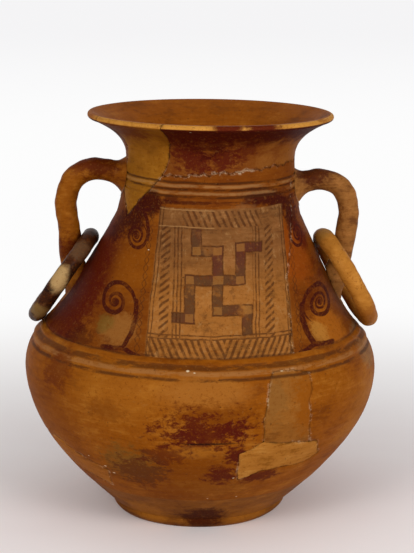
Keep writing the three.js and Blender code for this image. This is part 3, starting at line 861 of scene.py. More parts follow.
def clay_ring(name, section, seed):
    """A hand-rolled ring through the joint's pivot, round the middle of the measured piece."""
    joint = next(joint for joint in frame["joints"] if joint["child"] == name)
    low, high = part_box(name)
    middle = np.array((low + high) / 2) / MM
    across = np.array(joint["axis"], float)
    up = np.array(joint["pos_m"], float) / MM - middle
    up -= across * (up @ across)
    radius = np.linalg.norm(up)
    up /= radius
    through = np.cross(across, up)
    steps = 2 * math.pi * np.arange(RING_STEPS) / RING_STEPS
    sides = 2 * math.pi * np.arange(RING_SIDES) / RING_SIDES
    spoke = np.cos(steps)[:, None] * up + np.sin(steps)[:, None] * across
    out = spoke[:, None] * np.cos(sides)[None, :, None] + through * np.sin(sides)[None, :, None]
    line = middle + spoke * radius
    points = (line[:, None] + out * section / 2).reshape(-1, 3)
    uneven = hollows(points, RING_HOLLOWS, seed)
    verts = points + out.reshape(-1, 3) * uneven[:, None]
    faces = []
    for step in range(RING_STEPS):
        for side in range(RING_SIDES):
            a = step * RING_SIDES + side
            b = step * RING_SIDES + (side + 1) % RING_SIDES
            c = (step + 1) % RING_STEPS * RING_SIDES
            faces.append((a, b, c + (side + 1) % RING_SIDES, c + side))
    print(name, "outer width", round(2 * radius + section, 1), "mm")
    return finish_mesh(name + "_clay", verts, faces, sharp=180)


for seed, (name, section) in enumerate(RING_SECTIONS.items(), RING_SEED):
    pieces[name] = clay_ring(name, section, seed)

# %% [markdown]
# ## Hanging the pieces on the frame
# Every fine piece stands for its measured piece, which is hidden, and rides on the body that carries
# it: the jar, or one of the two loose rings.

# %% Hang the pieces on the frame
bodies = {"ring_left": "ring_left", "ring_right": "ring_right"}
for name, piece in pieces.items():
    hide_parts(name)
    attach(piece, bodies.get(name, "jar"))
print("pieces", len(pieces), "of", len(nodes))

# %% [markdown]
# ## Writing finishes as nodes
# Every finish is a procedural node tree. A tree written by hand soon has hundreds of lines, so one
# small helper puts a node down, sets its values and links its inputs. Effects that several finishes
# share become node groups with named inputs and outputs, as a potter would reuse one brush.

# %% A helper that puts nodes down
class Bench:
    """Puts nodes into one tree, each linked to the values that it needs."""

    def __init__(self, tree):
        self.tree = tree

    def link(self, value, socket):
        """Leads a value into a socket."""
        self.tree.links.new(value, socket)

    def put(self, kind, values, out=0, **settings):
        """A new node with its values and settings. It gives one output, or all where out is None."""
        node = self.tree.nodes.new(kind)
        for name, setting in settings.items():
            setattr(node, name, setting)
        for name, value in values.items():
            if isinstance(value, bpy.types.NodeSocket):
                self.link(value, node.inputs[name])
            else:
                node.inputs[name].default_value = value
        return node.outputs if out is None else node.outputs[out]

    def sum(self, operation, *values):
        """One sum on two or three values."""
        return self.put("ShaderNodeMath", dict(enumerate(values)), operation=operation)

    def rise(self, value, low, high):
        """0 below low, 1 above high and a soft step between; low may be the larger one."""
        step = {"Value": value, "From Min": low, "From Max": high, "To Min": 0.0, "To Max": 1.0}
        return self.put("ShaderNodeMapRange", step, interpolation_type="SMOOTHSTEP")

    def noise(self, place, scale, detail=3, rough=0.55, distortion=0.0, out="Fac"):
        """Noise over a place, finer with a larger scale."""
        values = {"Vector": place, "Scale": scale, "Detail": detail}
        values.update({"Roughness": rough, "Distortion": distortion})
        return self.put("ShaderNodeTexNoise", values, out=out)

    def blend(self, part, below, above):
        """A colour that goes from below to above. Inputs 0, 6 and 7 are the factor and the colours."""
        below, above = ((*c, 1) if isinstance(c, tuple) else c for c in (below, above))
        return self.put("ShaderNodeMix", {0: part, 6: below, 7: above}, out=2, data_type="RGBA")

    def lay(self, colour, mask, strength, tint):
        """A tint laid over a colour where a mask is 1, as thickly as the strength says."""
        return self.blend(self.sum("MULTIPLY", mask, strength), colour, tint)

    def stretch(self, place, scale):
        """A place with each axis multiplied, so that noise over it is drawn out."""
        return self.put("ShaderNodeVectorMath", {0: place, 1: scale}, operation="MULTIPLY")

    def near(self, value, middle, half, soft):
        """1 within half of the middle, 0 beyond it, with a soft edge."""
        off = self.sum("ABSOLUTE", self.sum("SUBTRACT", value, middle))
        return self.rise(off, half + soft, half - soft)

    def stripes(self, value, pitch, width, soft=0.25):
        """Lines of a width at every pitch of the value."""
        part = self.sum("FRACT", self.sum("DIVIDE", value, pitch))
        return self.near(self.sum("MULTIPLY", part, pitch), pitch / 2, width / 2, soft)


def new_group(name, given, gives):
    """A node group with named inputs and outputs: its bench, the input sockets and the output node."""
    tree = bpy.data.node_groups.new(name, "ShaderNodeTree")
    for way, sockets in (("INPUT", given), ("OUTPUT", gives)):
        for label, kind in sockets.items():
            tree.interface.new_socket(name=label, in_out=way, socket_type="NodeSocket" + kind)
    start = tree.nodes.new("NodeGroupInput")
    end = tree.nodes.new("NodeGroupOutput")
    return Bench(tree), start.outputs, end.inputs


def use_group(bench, name, values, out=0):
    """Places a group in a tree with its own values."""
    return bench.put("ShaderNodeGroup", values, out, node_tree=bpy.data.node_groups[name])


print("tools of the bench", [name for name in vars(Bench) if not name.startswith("_")])

# %% [markdown]
# ## Clay that was burnished and fired in the open
# Rubbing with a pebble leaves level strokes, and the open fire leaves clouds from yellow to brown.
# Both are noise: stretched level for the strokes, and in two broad sizes for the clouds. The noise
# is read in the object's own place, so colours run on across the fine joints between the pieces.

# %% The group for fire clouds
CLOUD_STRETCH = (1.0, 1.0, 1.9)
STROKE_STRETCH = (1.0, 1.0, 11.0)
BROAD_SHARE = 0.45
PATCHY_SHARE = 0.55
PATCHY_FINER = 3.7
STROKE_SHARE = 0.30
DARK_TO_MIDDLE = (0.34, 0.50)
MIDDLE_TO_PALE = (0.49, 0.67)

bench, given, gives = new_group(
    "fire_clouds",
    {"Place": "Vector", "Size": "Float", "Pale": "Color", "Middle": "Color", "Dark": "Color"},
    {"Color": "Color"},
)
level = bench.stretch(given["Place"], CLOUD_STRETCH)
broad = bench.noise(level, given["Size"], 4, 0.6, 0.6)
patchy = bench.noise(level, bench.sum("MULTIPLY", given["Size"], PATCHY_FINER), 5, 0.68, 0.4)
strokes = bench.noise(bench.stretch(given["Place"], STROKE_STRETCH), 46.0, 4, 0.65)
mixed = bench.sum("MULTIPLY_ADD", patchy, PATCHY_SHARE, bench.sum("MULTIPLY", broad, BROAD_SHARE))
mixed = bench.sum("MULTIPLY_ADD", bench.sum("SUBTRACT", strokes, 0.5), STROKE_SHARE, mixed)
clouded = bench.blend(bench.rise(mixed, *DARK_TO_MIDDLE), given["Dark"], given["Middle"])
clouded = bench.blend(bench.rise(mixed, *MIDDLE_TO_PALE), clouded, given["Pale"])
bench.link(clouded, gives["Color"])
print("nodes of the clouds", len(bench.tree.nodes))

# %% The group for torn patches
BLOT_STRETCH = (1.0, 1.0, 1.6)
PATCH_EDGE = (1.05, 0.45)

bench, given, gives = new_group(
    "patch",
    {"Place": "Vector", "Middle": "Vector", "Reach": "Float", "Flatness": "Float", "Torn": "Float"},
    {"Mask": "Float"},
)
ends = {0: given["Place"], 1: given["Middle"]}
away = bench.put("ShaderNodeVectorMath", ends, operation="SUBTRACT")
squeeze = bench.put("ShaderNodeCombineXYZ", {0: 1.0, 1: 1.0, 2: given["Flatness"]})
away = bench.stretch(away, squeeze)
reach = bench.put("ShaderNodeVectorMath", {0: away}, out="Value", operation="LENGTH")
reach = bench.sum("DIVIDE", reach, given["Reach"])
blots = bench.noise(bench.stretch(given["Place"], BLOT_STRETCH), 120.0, 6, 0.75, 0.3)
torn = bench.sum("MULTIPLY", bench.sum("SUBTRACT", blots, 0.5), given["Torn"])
bench.link(bench.rise(bench.sum("ADD", reach, torn), *PATCH_EDGE), gives["Mask"])
print("nodes of a patch", len(bench.tree.nodes))

# %% The group for burnished clay
PEBBLE_STRETCH = (1.0, 1.0, 8.0)
RUBBED_STRETCH = (1.0, 1.0, 5.0)
FINE_SHARE = 0.25
PIT_EDGE = (0.30, 0.22)

bench, given, gives = new_group(
    "burnish",
    {"Place": "Vector", "Depth": "Float", "Pits": "Float"},
    {"Height": "Float", "Specks": "Float", "Grit": "Float", "Gloss": "Float"},
)
strokes = bench.noise(bench.stretch(given["Place"], PEBBLE_STRETCH), 90.0, 4, 0.6)
fine = bench.noise(given["Place"], 520.0, 3, 0.6)
holes = bench.noise(given["Place"], 300.0, 2, 0.5)
pits = bench.rise(holes, *PIT_EDGE)
height = bench.sum("MULTIPLY", strokes, given["Depth"])
height = bench.sum("MULTIPLY_ADD", fine, FINE_SHARE, height)
height = bench.sum("SUBTRACT", height, bench.sum("MULTIPLY", pits, given["Pits"]))
grit = bench.noise(given["Place"], 330.0, 4, 0.8)
rubbed = bench.noise(bench.stretch(given["Place"], RUBBED_STRETCH), 30.0, 4, 0.6)
for value, label in ((height, "Height"), (pits, "Specks"), (grit, "Grit"), (rubbed, "Gloss")):
    bench.link(value, gives[label])
print("clay groups", [group.name for group in bpy.data.node_groups])

# %% [markdown]
# ## The painted shoulder
# The painter divided the shoulder into panels between the handles. Each has hatched bands, columns
# of dashes, and in the middle a hooked cross whose arms bend like a meander, an ornament that is
# thousands of years old. It is drawn with sums over a flat painting sheet, in millimetres: run is
# the way round the wall from the panel's middle, and height is the height on the jar. Bars are
# boxes, hatching is a sum that repeats, and noise wears the paint away.

# %% Sizes of the panel
PANEL_TOP = 278
PANEL_BOTTOM = 163.5
LEFT_BORDER = -51.5
LEFT_SLANT = 0.087
RIGHT_BORDER = 62
RIGHT_SLANT = 0.045
TOP_BAND = (263.5, 276.5)
BOTTOM_BAND = (163.5, 180)
BAND_LINES = (182.2, 179.6)
PALE_LINES = (263, 276.6)
BAND_MIDDLE = 5
HATCH_PITCH = 5.4
HATCH_SLANT = 0.5
HATCH_WIDTH = 2.2
CHEVRON_WIDTH = 2.5
INNER_LINES = ((-34.0, 4.9), (32.3, 3.6))
LINE_PITCH = 3
LINE_WIDTH = 1.2
DASH_COLUMNS = (-45.4, 44.5)
DASH_HALF = 4.2
DASH_PITCH = 5.2
DASH_WIDTH = 2.3
DASH_SLANT = -0.7
BORDER_LINES = ((0.6, 0.55), (3.6, 0.5))
CHAIN_OFF = 7.5
CHAIN_SWING = 2.1
CHAIN_PITCH = 5.8
CHAIN_STRENGTH = 0.85
print("panel", PANEL_TOP - PANEL_BOTTOM, "mm high and", RIGHT_BORDER - LEFT_BORDER, "mm wide at its top")

# %% Sums over the painting sheet
BRUSH_SHAKE = 1.3


def painting_sheet(bench, sheet, place):
    """Run and height in millimetres, shaken a little as a brush is."""
    apart = bench.put("ShaderNodeSeparateXYZ", {0: sheet}, out=None)
    shaking = bench.noise(place, 60.0, 2, 0.5, out="Color")
    shake = bench.put("ShaderNodeSeparateColor", {0: shaking}, out=None)
    both = []
    for side in range(2):
        off = bench.sum("MULTIPLY_ADD", shake[side], 2 * BRUSH_SHAKE, -BRUSH_SHAKE)
        both.append(bench.sum("MULTIPLY_ADD", apart[side], 1 / PAPER_SCALE, off))
    return both


def box_distance(bench, run, height, low, high):
    """Distance outside a box on the sheet, less than 0 inside it."""
    parts = []
    for value, a, b in ((run, low[0], high[0]), (height, low[1], high[1])):
        off = bench.sum("ABSOLUTE", bench.sum("SUBTRACT", value, (a + b) / 2))
        parts.append(bench.sum("SUBTRACT", off, (b - a) / 2))
    return bench.sum("MAXIMUM", *parts)


def folded(bench, operation, values):
    """One value from several, by a sum that takes them in one after another."""
    result = values[0]
    for value in values[1:]:
        result = bench.sum(operation, result, value)
    return result


def nearest_of(bench, distances):
    """The least of several distances."""
    return folded(bench, "MINIMUM", distances)


def any_of(bench, masks):
    """1 where any of several masks is 1."""
    return folded(bench, "MAXIMUM", masks)


print("the brush shakes up to", BRUSH_SHAKE, "mm")

# %% The hooked cross as boxes
CROSS_MIDDLE = (-1, 223)
CROSS_ARMS = (
    (CROSS_MIDDLE, (-1, 245), (-19, 245), (-19, 258)),
    (CROSS_MIDDLE, (18, 223), (18, 247.5), (33, 247.5)),
    (CROSS_MIDDLE, (-1, 200.5), (24, 200.5), (24, 186)),
    (CROSS_MIDDLE, (-24, 223), (-24, 195), (-34, 195)),
)
BAR_HALF = (4.3, 3.8)
BLOCK_SHARE = 0.78
HEART_HALF = (4.3, 3)


def cross_distances(bench, run, height):
    """Distances to the cross's bars and to the pale blocks at its corners."""
    bars = []
    blocks = []
    for arm in CROSS_ARMS:
        for start, end in zip(arm, arm[1:]):
            low = [min(a, b) - half for a, b, half in zip(start, end, BAR_HALF)]
            high = [max(a, b) + half for a, b, half in zip(start, end, BAR_HALF)]
            bars.append(box_distance(bench, run, height, low, high))
        for x, z in arm[1:3]:
            across, up = (half * BLOCK_SHARE for half in BAR_HALF)
            blocks.append(box_distance(bench, run, height, (x - across, z - up), (x + across, z + up)))
    x, z = CROSS_MIDDLE
    across, up = HEART_HALF
    blocks.append(box_distance(bench, run, height, (x - across, z - up), (x + across, z + up)))
    return nearest_of(bench, bars), nearest_of(bench, blocks)


print("bars of the cross", sum(len(arm) - 1 for arm in CROSS_ARMS))

# %% The panel's field and bands
bench, given, gives = new_group(
    "panel_paint",
    {"Sheet": "Vector", "Place": "Vector"},
    dict.fromkeys(("Field", "Lower", "Lines", "Pale", "Bars", "Blocks"), "Float"),
)
run, height = painting_sheet(bench, given["Sheet"], given["Place"])


def between_heights(low, high, soft):
    """1 between two heights of the panel, with soft edges."""
    return bench.near(height, (high + low) / 2, (high - low) / 2, soft)


fall = bench.sum("SUBTRACT", PANEL_TOP, height)
from_left = bench.sum("ADD", run, bench.sum("MULTIPLY_ADD", fall, LEFT_SLANT, -LEFT_BORDER))
from_right = bench.sum("SUBTRACT", bench.sum("MULTIPLY_ADD", fall, RIGHT_SLANT, RIGHT_BORDER), run)
in_height = between_heights(PANEL_BOTTOM, PANEL_TOP, 0.5)
in_width = bench.sum("MULTIPLY", bench.rise(from_left, -1.0, 1.0), bench.rise(from_right, -1.0, 1.0))
field = bench.sum("MULTIPLY", in_height, in_width)
between = between_heights(BOTTOM_BAND[1], TOP_BAND[0], 0.5)
top_band = between_heights(*TOP_BAND, 0.4)
bottom_band = between_heights(*BOTTOM_BAND, 0.4)
slanted = bench.sum("MULTIPLY_ADD", height, HATCH_SLANT, run)
hatching = bench.stripes(slanted, HATCH_PITCH, HATCH_WIDTH, 0.6)
hatching = bench.sum("MULTIPLY", hatching, bench.near(run, 3, 34, 5))
off_middle = bench.sum("ABSOLUTE", bench.sum("SUBTRACT", run, BAND_MIDDLE))
pointed = bench.sum("SUBTRACT", bench.sum("MULTIPLY", height, HATCH_SLANT), off_middle)
chevrons = bench.stripes(pointed, HATCH_PITCH, CHEVRON_WIDTH, 0.6)
masks = [
    bench.sum("MULTIPLY", hatching, top_band),
    bench.sum("MULTIPLY", chevrons, bench.sum("MULTIPLY", bottom_band, in_width)),
]
print("nodes so far", len(bench.tree.nodes))

# %% The panel's lines, dashes and chains
for middle, half in INNER_LINES:
    lines = bench.stripes(run, LINE_PITCH, LINE_WIDTH, 0.45)
    inside = bench.sum("MULTIPLY", bench.near(run, middle, half, 0.3), between)
    masks.append(bench.sum("MULTIPLY", lines, inside))
for column in DASH_COLUMNS:
    slanted = bench.sum("MULTIPLY_ADD", run, DASH_SLANT, height)
    dashes = bench.stripes(slanted, DASH_PITCH, DASH_WIDTH, 0.6)
    inside = bench.sum("MULTIPLY", bench.near(run, column, DASH_HALF, 0.5), between)
    masks.append(bench.sum("MULTIPLY", dashes, inside))
for border in (from_left, from_right):
    pair = any_of(bench, [bench.near(border, middle, half, 0.35) for middle, half in BORDER_LINES])
    masks.append(bench.sum("MULTIPLY", pair, in_height))
    wave = bench.sum("SINE", bench.sum("MULTIPLY", height, math.pi / CHAIN_PITCH))
    swing = bench.sum("MULTIPLY", bench.sum("ABSOLUTE", wave), CHAIN_SWING)
    off = bench.sum("ABSOLUTE", bench.sum("ADD", border, CHAIN_OFF))
    chain = bench.near(bench.sum("SUBTRACT", off, swing), 0, 0.5, 0.35)
    chain = bench.sum("MULTIPLY", chain, in_height)
    masks.append(bench.sum("MULTIPLY", chain, CHAIN_STRENGTH))
for level in BAND_LINES:
    masks.append(bench.sum("MULTIPLY", bench.near(height, level, 0.5, 0.3), in_width))
print("kinds of strokes", len(masks))

# %% The cross and the wear of the paint
bars, blocks = cross_distances(bench, run, height)
masks.append(bench.near(bars, 0, 0.55, 0.35))
worn = bench.noise(given["Place"], 150.0, 5, 0.7)
left_over = bench.rise(worn, 0.38, 0.52)
pale_lines = any_of(bench, [bench.near(height, level, 0.4, 0.3) for level in PALE_LINES])
pale_lines = bench.sum("MULTIPLY", pale_lines, bench.near(run, -28, 24, 1))
faded = bench.noise(given["Place"], 48.0, 4, 0.65)
bar_paint = bench.sum("MULTIPLY", bench.rise(bars, 0.3, -0.5), bench.rise(faded, 0.30, 0.50))
drawn = bench.sum("MULTIPLY", any_of(bench, masks), bench.sum("MULTIPLY_ADD", left_over, 0.6, 0.4))
for mask, label in (
    (field, "Field"),
    (bench.rise(height, 252, 205), "Lower"),
    (drawn, "Lines"),
    (pale_lines, "Pale"),
    (bar_paint, "Bars"),
    (bench.rise(blocks, 0.3, -0.3), "Blocks"),
):
    bench.link(mask, gives[label])
print("nodes of the panel", len(bench.tree.nodes))

# %% [markdown]
# ## The painted hooks
# On each side of the panel stands a hook with a coiled end, and a smaller one hangs above it upside
# down. The coil is a spiral that narrows by the same share at every turn, and the stem below it is
# five short straight brush strokes.

# %% Draw one hook
COIL_REACH = 22.5
COIL_HEART = 3.2
LEAST_REACH = 0.5
COIL_FILL = 0.27
STEM = (
    ((22.4, 3), (23, -12)),
    ((23, -12), (19, -27)),
    ((19, -27), (12, -42)),
    ((12, -42), (26, -47)),
    ((12, -42), (-8, -44)),
)


def stroke_distance(bench, across, up, start, end):
    """Distance to a straight brush stroke."""
    (x0, y0), (x1, y1) = start, end
    length = math.dist(start, end)
    ax, ay = (x1 - x0) / length, (y1 - y0) / length
    x = bench.sum("SUBTRACT", across, x0)
    y = bench.sum("SUBTRACT", up, y0)
    along = bench.sum("MULTIPLY_ADD", x, ax, bench.sum("MULTIPLY", y, ay))
    off = bench.sum("ABSOLUTE", bench.sum("SUBTRACT", along, length / 2))
    beyond = bench.sum("MAXIMUM", bench.sum("SUBTRACT", off, length / 2), 0)
    aside = bench.sum("MULTIPLY_ADD", x, -ay, bench.sum("MULTIPLY", y, ax))
    squares = bench.sum("MULTIPLY_ADD", aside, aside, bench.sum("MULTIPLY", beyond, beyond))
    return bench.sum("SQRT", squares)


bench, given, gives = new_group(
    "painted_hook",
    dict.fromkeys(("Across", "Up", "Narrowing", "Stroke"), "Float"),
    {"Mask": "Float"},
)
across, up, narrowing = given["Across"], given["Up"], given["Narrowing"]
half = bench.sum("DIVIDE", given["Stroke"], 2)
reach = bench.sum("SQRT", bench.sum("MULTIPLY_ADD", across, across, bench.sum("MULTIPLY", up, up)))
reach = bench.sum("MAXIMUM", reach, LEAST_REACH)
shrunk = bench.sum("LOGARITHM", bench.sum("DIVIDE", COIL_REACH, reach), math.e)
passed = bench.sum("DIVIDE", shrunk, narrowing)
turn = bench.sum("ARCTAN2", up, across)
missed = bench.sum("DIVIDE", bench.sum("SUBTRACT", passed, turn), 2 * math.pi)
missed = bench.sum("SUBTRACT", missed, bench.sum("ROUND", missed))
pitch = bench.sum("MULTIPLY", bench.sum("MULTIPLY", reach, narrowing), 2 * math.pi)
aside = bench.sum("ABSOLUTE", bench.sum("MULTIPLY", missed, pitch))
fine_half = bench.sum("MINIMUM", half, bench.sum("MULTIPLY", pitch, COIL_FILL))
coil = bench.rise(bench.sum("SUBTRACT", aside, fine_half), 0.4, -0.4)
coil = bench.sum("MULTIPLY", coil, bench.rise(passed, -0.12, 0.05))
heart = bench.rise(reach, COIL_HEART + 0.4, COIL_HEART - 0.4)
strokes = [stroke_distance(bench, across, up, *stroke) for stroke in STEM]
stem = bench.rise(bench.sum("SUBTRACT", nearest_of(bench, strokes), half), 0.5, -0.5)
bench.link(any_of(bench, [coil, heart, stem]), gives["Mask"])
print("nodes of a hook", len(bench.tree.nodes))

# %% Place the four hooks
# A hook's row: run and height of its coil, side it opens to, stretch upward and across, how fast
# the coil narrows, and width of the stroke.
HOOKS = (
    (-93, 201.6, 1, 1.31, 1.0, 0.150, 4.4),
    (105.6, 197.4, -1, 1.48, 0.833, 0.112, 5.2),
    (-76, 252.5, 1, -2.1, 1.75, 0.115, 6.4),
    (84, 252, -1, -2.1, 1.75, 0.115, 5.0),
)

bench, given, gives = new_group("hook_paint", {"Sheet": "Vector", "Place": "Vector"}, {"Mask": "Float"})
run, height = painting_sheet(bench, given["Sheet"], given["Place"])
hooks = []
for coil_run, coil_height, side, upward, wider, narrowing, stroke in HOOKS:
    values = {
        "Across": bench.sum("MULTIPLY", bench.sum("SUBTRACT", run, coil_run), side * wider),
        "Up": bench.sum("MULTIPLY", bench.sum("SUBTRACT", height, coil_height), upward),
        "Narrowing": narrowing,
        "Stroke": stroke,
    }
    hooks.append(use_group(bench, "painted_hook", values))
bench.link(any_of(bench, hooks), gives["Mask"])
print("hooks", len(HOOKS))

# %% [markdown]
# ## Colours
# The colours are linear values, picked to look like the fired clay, the maroon paint, the ochre
# plaster of the repairs and the bare chips. Each patch of stain or wear has a place on the wall, and so
# have the few patches of painted shade and of painted highlight.

# %% Name the colours
OCHRE = (0.320, 0.110, 0.010)
WARM_BROWN = (0.232, 0.062, 0.002)
DEEP_BROWN = (0.145, 0.034, 0.001)
TAN = (0.290, 0.118, 0.024)
RED = (0.075, 0.006, 0.001)
MAROON = (0.036, 0.003, 0.001)
DARK_PAINT = (0.050, 0.014, 0.004)
BAR_PAINT = (0.070, 0.028, 0.011)
BAR_RED = (0.070, 0.016, 0.010)
HOOK_PAINT = (0.042, 0.004, 0.002)
PALE_LINE = (0.380, 0.200, 0.070)
SHADE_BROWN = (0.110, 0.040, 0.010)
STAIN = (0.070, 0.006, 0.002)
# maroon paint under the flared lip, deepened into painted shade where the flare keeps the light off
UNDER_LIP_PAINT_AND_SHADE = (0.042, 0.003, 0.001)
PLASTER = (0.345, 0.130, 0.018)
PLASTER_PALE = (0.430, 0.190, 0.035)
PLASTER_DARK = (0.205, 0.066, 0.004)
OLIVE = (0.150, 0.078, 0.012)
CHIP = (0.620, 0.480, 0.300)
# near black for grit and dirt in cracks, and also painted shade on the left ring's inner side
BLACK_DIRT_AND_SHADE = (0.010, 0.003, 0.002)
GREEN_GREY = (0.170, 0.120, 0.060)
print("ochre", OCHRE, "and plaster", PLASTER)


# %% Find a place on the wall
def on_wall(turn, height):
    """The place of a turn in degrees and a height in millimetres on the sunken jar, in metres."""
    radius = float(wall_radius(height))
    point = settle(around(np.radians([turn]), np.array([radius]), np.array([height])))[0]
    return tuple(float(value) * MM for value in point)


front = on_wall(0, CARINATION_HEIGHT)
print("front of the shoulder's edge", [round(value, 3) for value in front])

# %% Stains of the belly and the foot, and a painted highlight
# A row: turn, height, reach in millimetres, flatness, how torn it is, colour and strength.
BELLY_PATCHES = (
    (-25, 140, 60, 2.0, 0.7, OCHRE, 0.35),
    # the pale patch in front, under the shoulder's edge, is a painted highlight: the belly's broad sheen
    (2, 142, 46, 2.6, 0.6, (0.310, 0.112, 0.016), 0.65),
    (-60, 100, 60, 1.4, 1.0, DEEP_BROWN, 0.35),
    (-52, 147, 24, 1.0, 1.8, RED, 0.6),
    (-30, 122, 26, 2.4, 2.2, DEEP_BROWN, 0.5),
    (-4, 62, 80, 1.8, 1.6, DEEP_BROWN, 0.6),
    (4, 121, 46, 2.6, 2.6, DEEP_BROWN, 0.75),
    (2, 108, 40, 2.1, 5.0, STAIN, 0.85),
    (10, 111, 16, 1.5, 3.4, STAIN, 0.9),
    (-3, 105, 14, 1.6, 3.8, STAIN, 0.8),
    (12, 86, 11, 0.7, 3.2, STAIN, 0.95),
    (8, 66, 15, 1.0, 3.4, STAIN, 0.9),
    (22, 62, 24, 3.0, 2.4, STAIN, 0.85),
    (-2, 90, 20, 2.6, 1.2, OCHRE, 0.6),
    (-24, 72, 32, 1.3, 2.6, OLIVE, 0.6),
    (-22, 66, 28, 1.4, 4.2, STAIN, 0.6),
    (-12, 86, 22, 1.8, 4.4, STAIN, 0.6),
    (3, 98.5, 30, 24.0, 0.4, BLACK_DIRT_AND_SHADE, 0.8),
    (30, 101, 14, 16.0, 0.8, BLACK_DIRT_AND_SHADE, 0.6),
    (70, 110, 50, 1.4, 1.4, OCHRE, 0.5),
    (62, 85, 32, 1.8, 1.4, OCHRE, 0.5),
    (76, 150, 26, 1.6, 2.4, GREEN_GREY, 0.4),
    (150, 120, 60, 1.6, 1.4, OCHRE, 0.5),
    (-150, 90, 55, 1.5, 2.0, DEEP_BROWN, 0.6),
    (-120, 130, 40, 1.6, 1.6, OCHRE, 0.5),
    (175, 75, 30, 1.4, 3.0, MAROON, 0.6),
)
FOOT_PATCHES = (
    (3, 12, 24, 1.2, 1.6, MAROON, 0.9),
    (-32, 14, 22, 1.0, 1.4, OCHRE, 0.6),
    (35, 10, 26, 1.2, 1.6, OCHRE, 0.5),
    (-70, 20, 30, 1.4, 1.4, DEEP_BROWN, 0.6),
    (170, 12, 30, 1.2, 1.6, MAROON, 0.6),
)
print("stains", len(BELLY_PATCHES) + len(FOOT_PATCHES))

# %% Stains of the shoulder
SHOULDER_PATCHES = (
    (-72, 205, 62, 0.8, 1.3, RED, 1.0),
    (-80, 238, 34, 0.8, 1.2, RED, 0.9),
    (-60, 176, 26, 1.3, 2.2, RED, 0.7),
    (-33, 182, 22, 1.2, 1.6, TAN, 0.6),
    (-38, 228, 30, 1.0, 1.6, WARM_BROWN, 0.6),
    (-41, 185, 12, 1.2, 1.6, OLIVE, 0.7),
    (-52, 268, 20, 0.9, 1.8, MAROON, 0.95),
    (-40, 280, 17, 1.3, 1.8, MAROON, 0.95),
    (-66, 256, 16, 0.9, 1.8, MAROON, 0.8),
    (-26, 284, 12, 2.4, 2.0, MAROON, 0.7),
    (50, 240, 34, 0.9, 1.5, (0.230, 0.045, 0.002), 0.8),
    (58, 178, 28, 1.1, 1.5, (0.330, 0.095, 0.006), 0.8),
    (34, 286, 24, 2.4, 2.0, MAROON, 0.9),
    (50, 279, 17, 1.0, 1.8, MAROON, 0.95),
    (62, 266, 15, 0.8, 1.8, MAROON, 0.9),
    (66, 250, 14, 0.8, 2.0, RED, 0.9),
    (22, 272, 16, 1.2, 1.8, (0.210, 0.080, 0.022), 0.7),
    (-50, 170, 22, 1.6, 2.6, MAROON, 0.6),
    (50, 177, 14, 1.3, 1.8, (0.400, 0.175, 0.028), 0.6),
    (80, 164, 26, 3.0, 2.6, GREEN_GREY, 0.5),
    (120, 210, 60, 0.9, 1.6, WARM_BROWN, 0.6),
    (-125, 200, 50, 1.0, 1.6, OCHRE, 0.4),
    (140, 275, 22, 1.2, 2.2, MAROON, 0.8),
    (-140, 270, 18, 1.2, 2.2, MAROON, 0.7),
)
print("stains", len(SHOULDER_PATCHES))

# %% Stains of the neck and the lip
NECK_PATCHES = (
    (-12, 323, 20, 1.0, 3.6, STAIN, 0.9),
    (9, 320, 15, 0.8, 3.4, STAIN, 0.9),
    (-1, 330, 24, 2.2, 3.6, MAROON, 0.7),
    (22, 327, 15, 1.4, 3.6, STAIN, 0.7),
    (46, 304, 20, 2.4, 2.6, MAROON, 0.7),
    (66, 316, 26, 1.0, 1.6, (0.250, 0.085, 0.010), 0.6),
    (38, 316, 14, 1.4, 1.6, (0.230, 0.080, 0.012), 0.6),
    (-120, 330, 40, 2.0, 1.8, DEEP_BROWN, 0.7),
)
LIP_PATCHES = (
    (8, 348.5, 18, 1.0, 1.2, (0.085, 0.010, 0.002), 1.0),
    (24, 348.5, 22, 1.0, 1.4, (0.085, 0.010, 0.002), 1.0),
    (-80, 348.5, 34, 1.0, 1.2, (0.240, 0.060, 0.006), 0.8),
)
print("stains", len(NECK_PATCHES) + len(LIP_PATCHES))

# %% Chips and bands
# A chip's row: turn, height and reach. A band's row: height, half its width, colour and strength.
CHIPS = (
    (4.0, 38.3, 1.1), (17.1, 38.6, 1.1), (-48.3, 161.5, 1.5), (24.0, 154.6, 1.3), (27.2, 155.6, 1.4),
    (32.1, 161.4, 1.3), (25.5, 151.0, 1.1), (-34.2, 60, 1.6), (-36.9, 66, 1.6), (-43.1, 73.0, 1.3),
    (12.7, 62.4, 1.2), (-3.7, 158.2, 1.8), (-1.5, 157.0, 1.3), (-32.8, 243.2, 1.0), (-29.6, 231.4, 0.9),
    (-30, 345.5, 1.2), (-9, 344.5, 1.1), (100, 163, 1.6), (-112, 160, 1.5), (165, 155, 1.6),
    (-95, 347, 1.2),
)
RIDGES = (
    (166.4, 0.9, DARK_PAINT, 0.6),
    (160.2, 2.1, DARK_PAINT, 0.65),
    (155.9, 1.7, (0.300, 0.130, 0.038), 0.6),
    (151.3, 1.1, DARK_PAINT, 0.75),
    (282.6, 1.5, MAROON, 0.75),
    (287.3, 0.9, DARK_PAINT, 0.8),
    (290.2, 1.2, PALE_LINE, 0.4),
    (293.0, 0.9, DARK_PAINT, 0.8),
    (295.9, 1.2, PALE_LINE, 0.4),
    (298.7, 0.9, DARK_PAINT, 0.8),
)
BELLY_RIDGES = RIDGES[:4]
SHOULDER_RIDGES = (RIDGES[0], *RIDGES[4:])
NECK_RIDGES = RIDGES[7:]
print("chips", len(CHIPS), "and bands", len(RIDGES))

# %% [markdown]
# ## The steps that every finish shares
# A finish starts from a new material. Stains, bands and chips are then laid over the clay's colours
# one after another, as they came to the real jar, and a few patches of painted shade and painted
# highlight with them. A last step adds grit, dirty cracks, gloss and the small relief that the pebble
# left. The shaders stay in each material, the masks are groups.

# %% Start a finish and find masks for it
CHIP_FLATNESS = 2.2
CHIP_TORN = 2.0


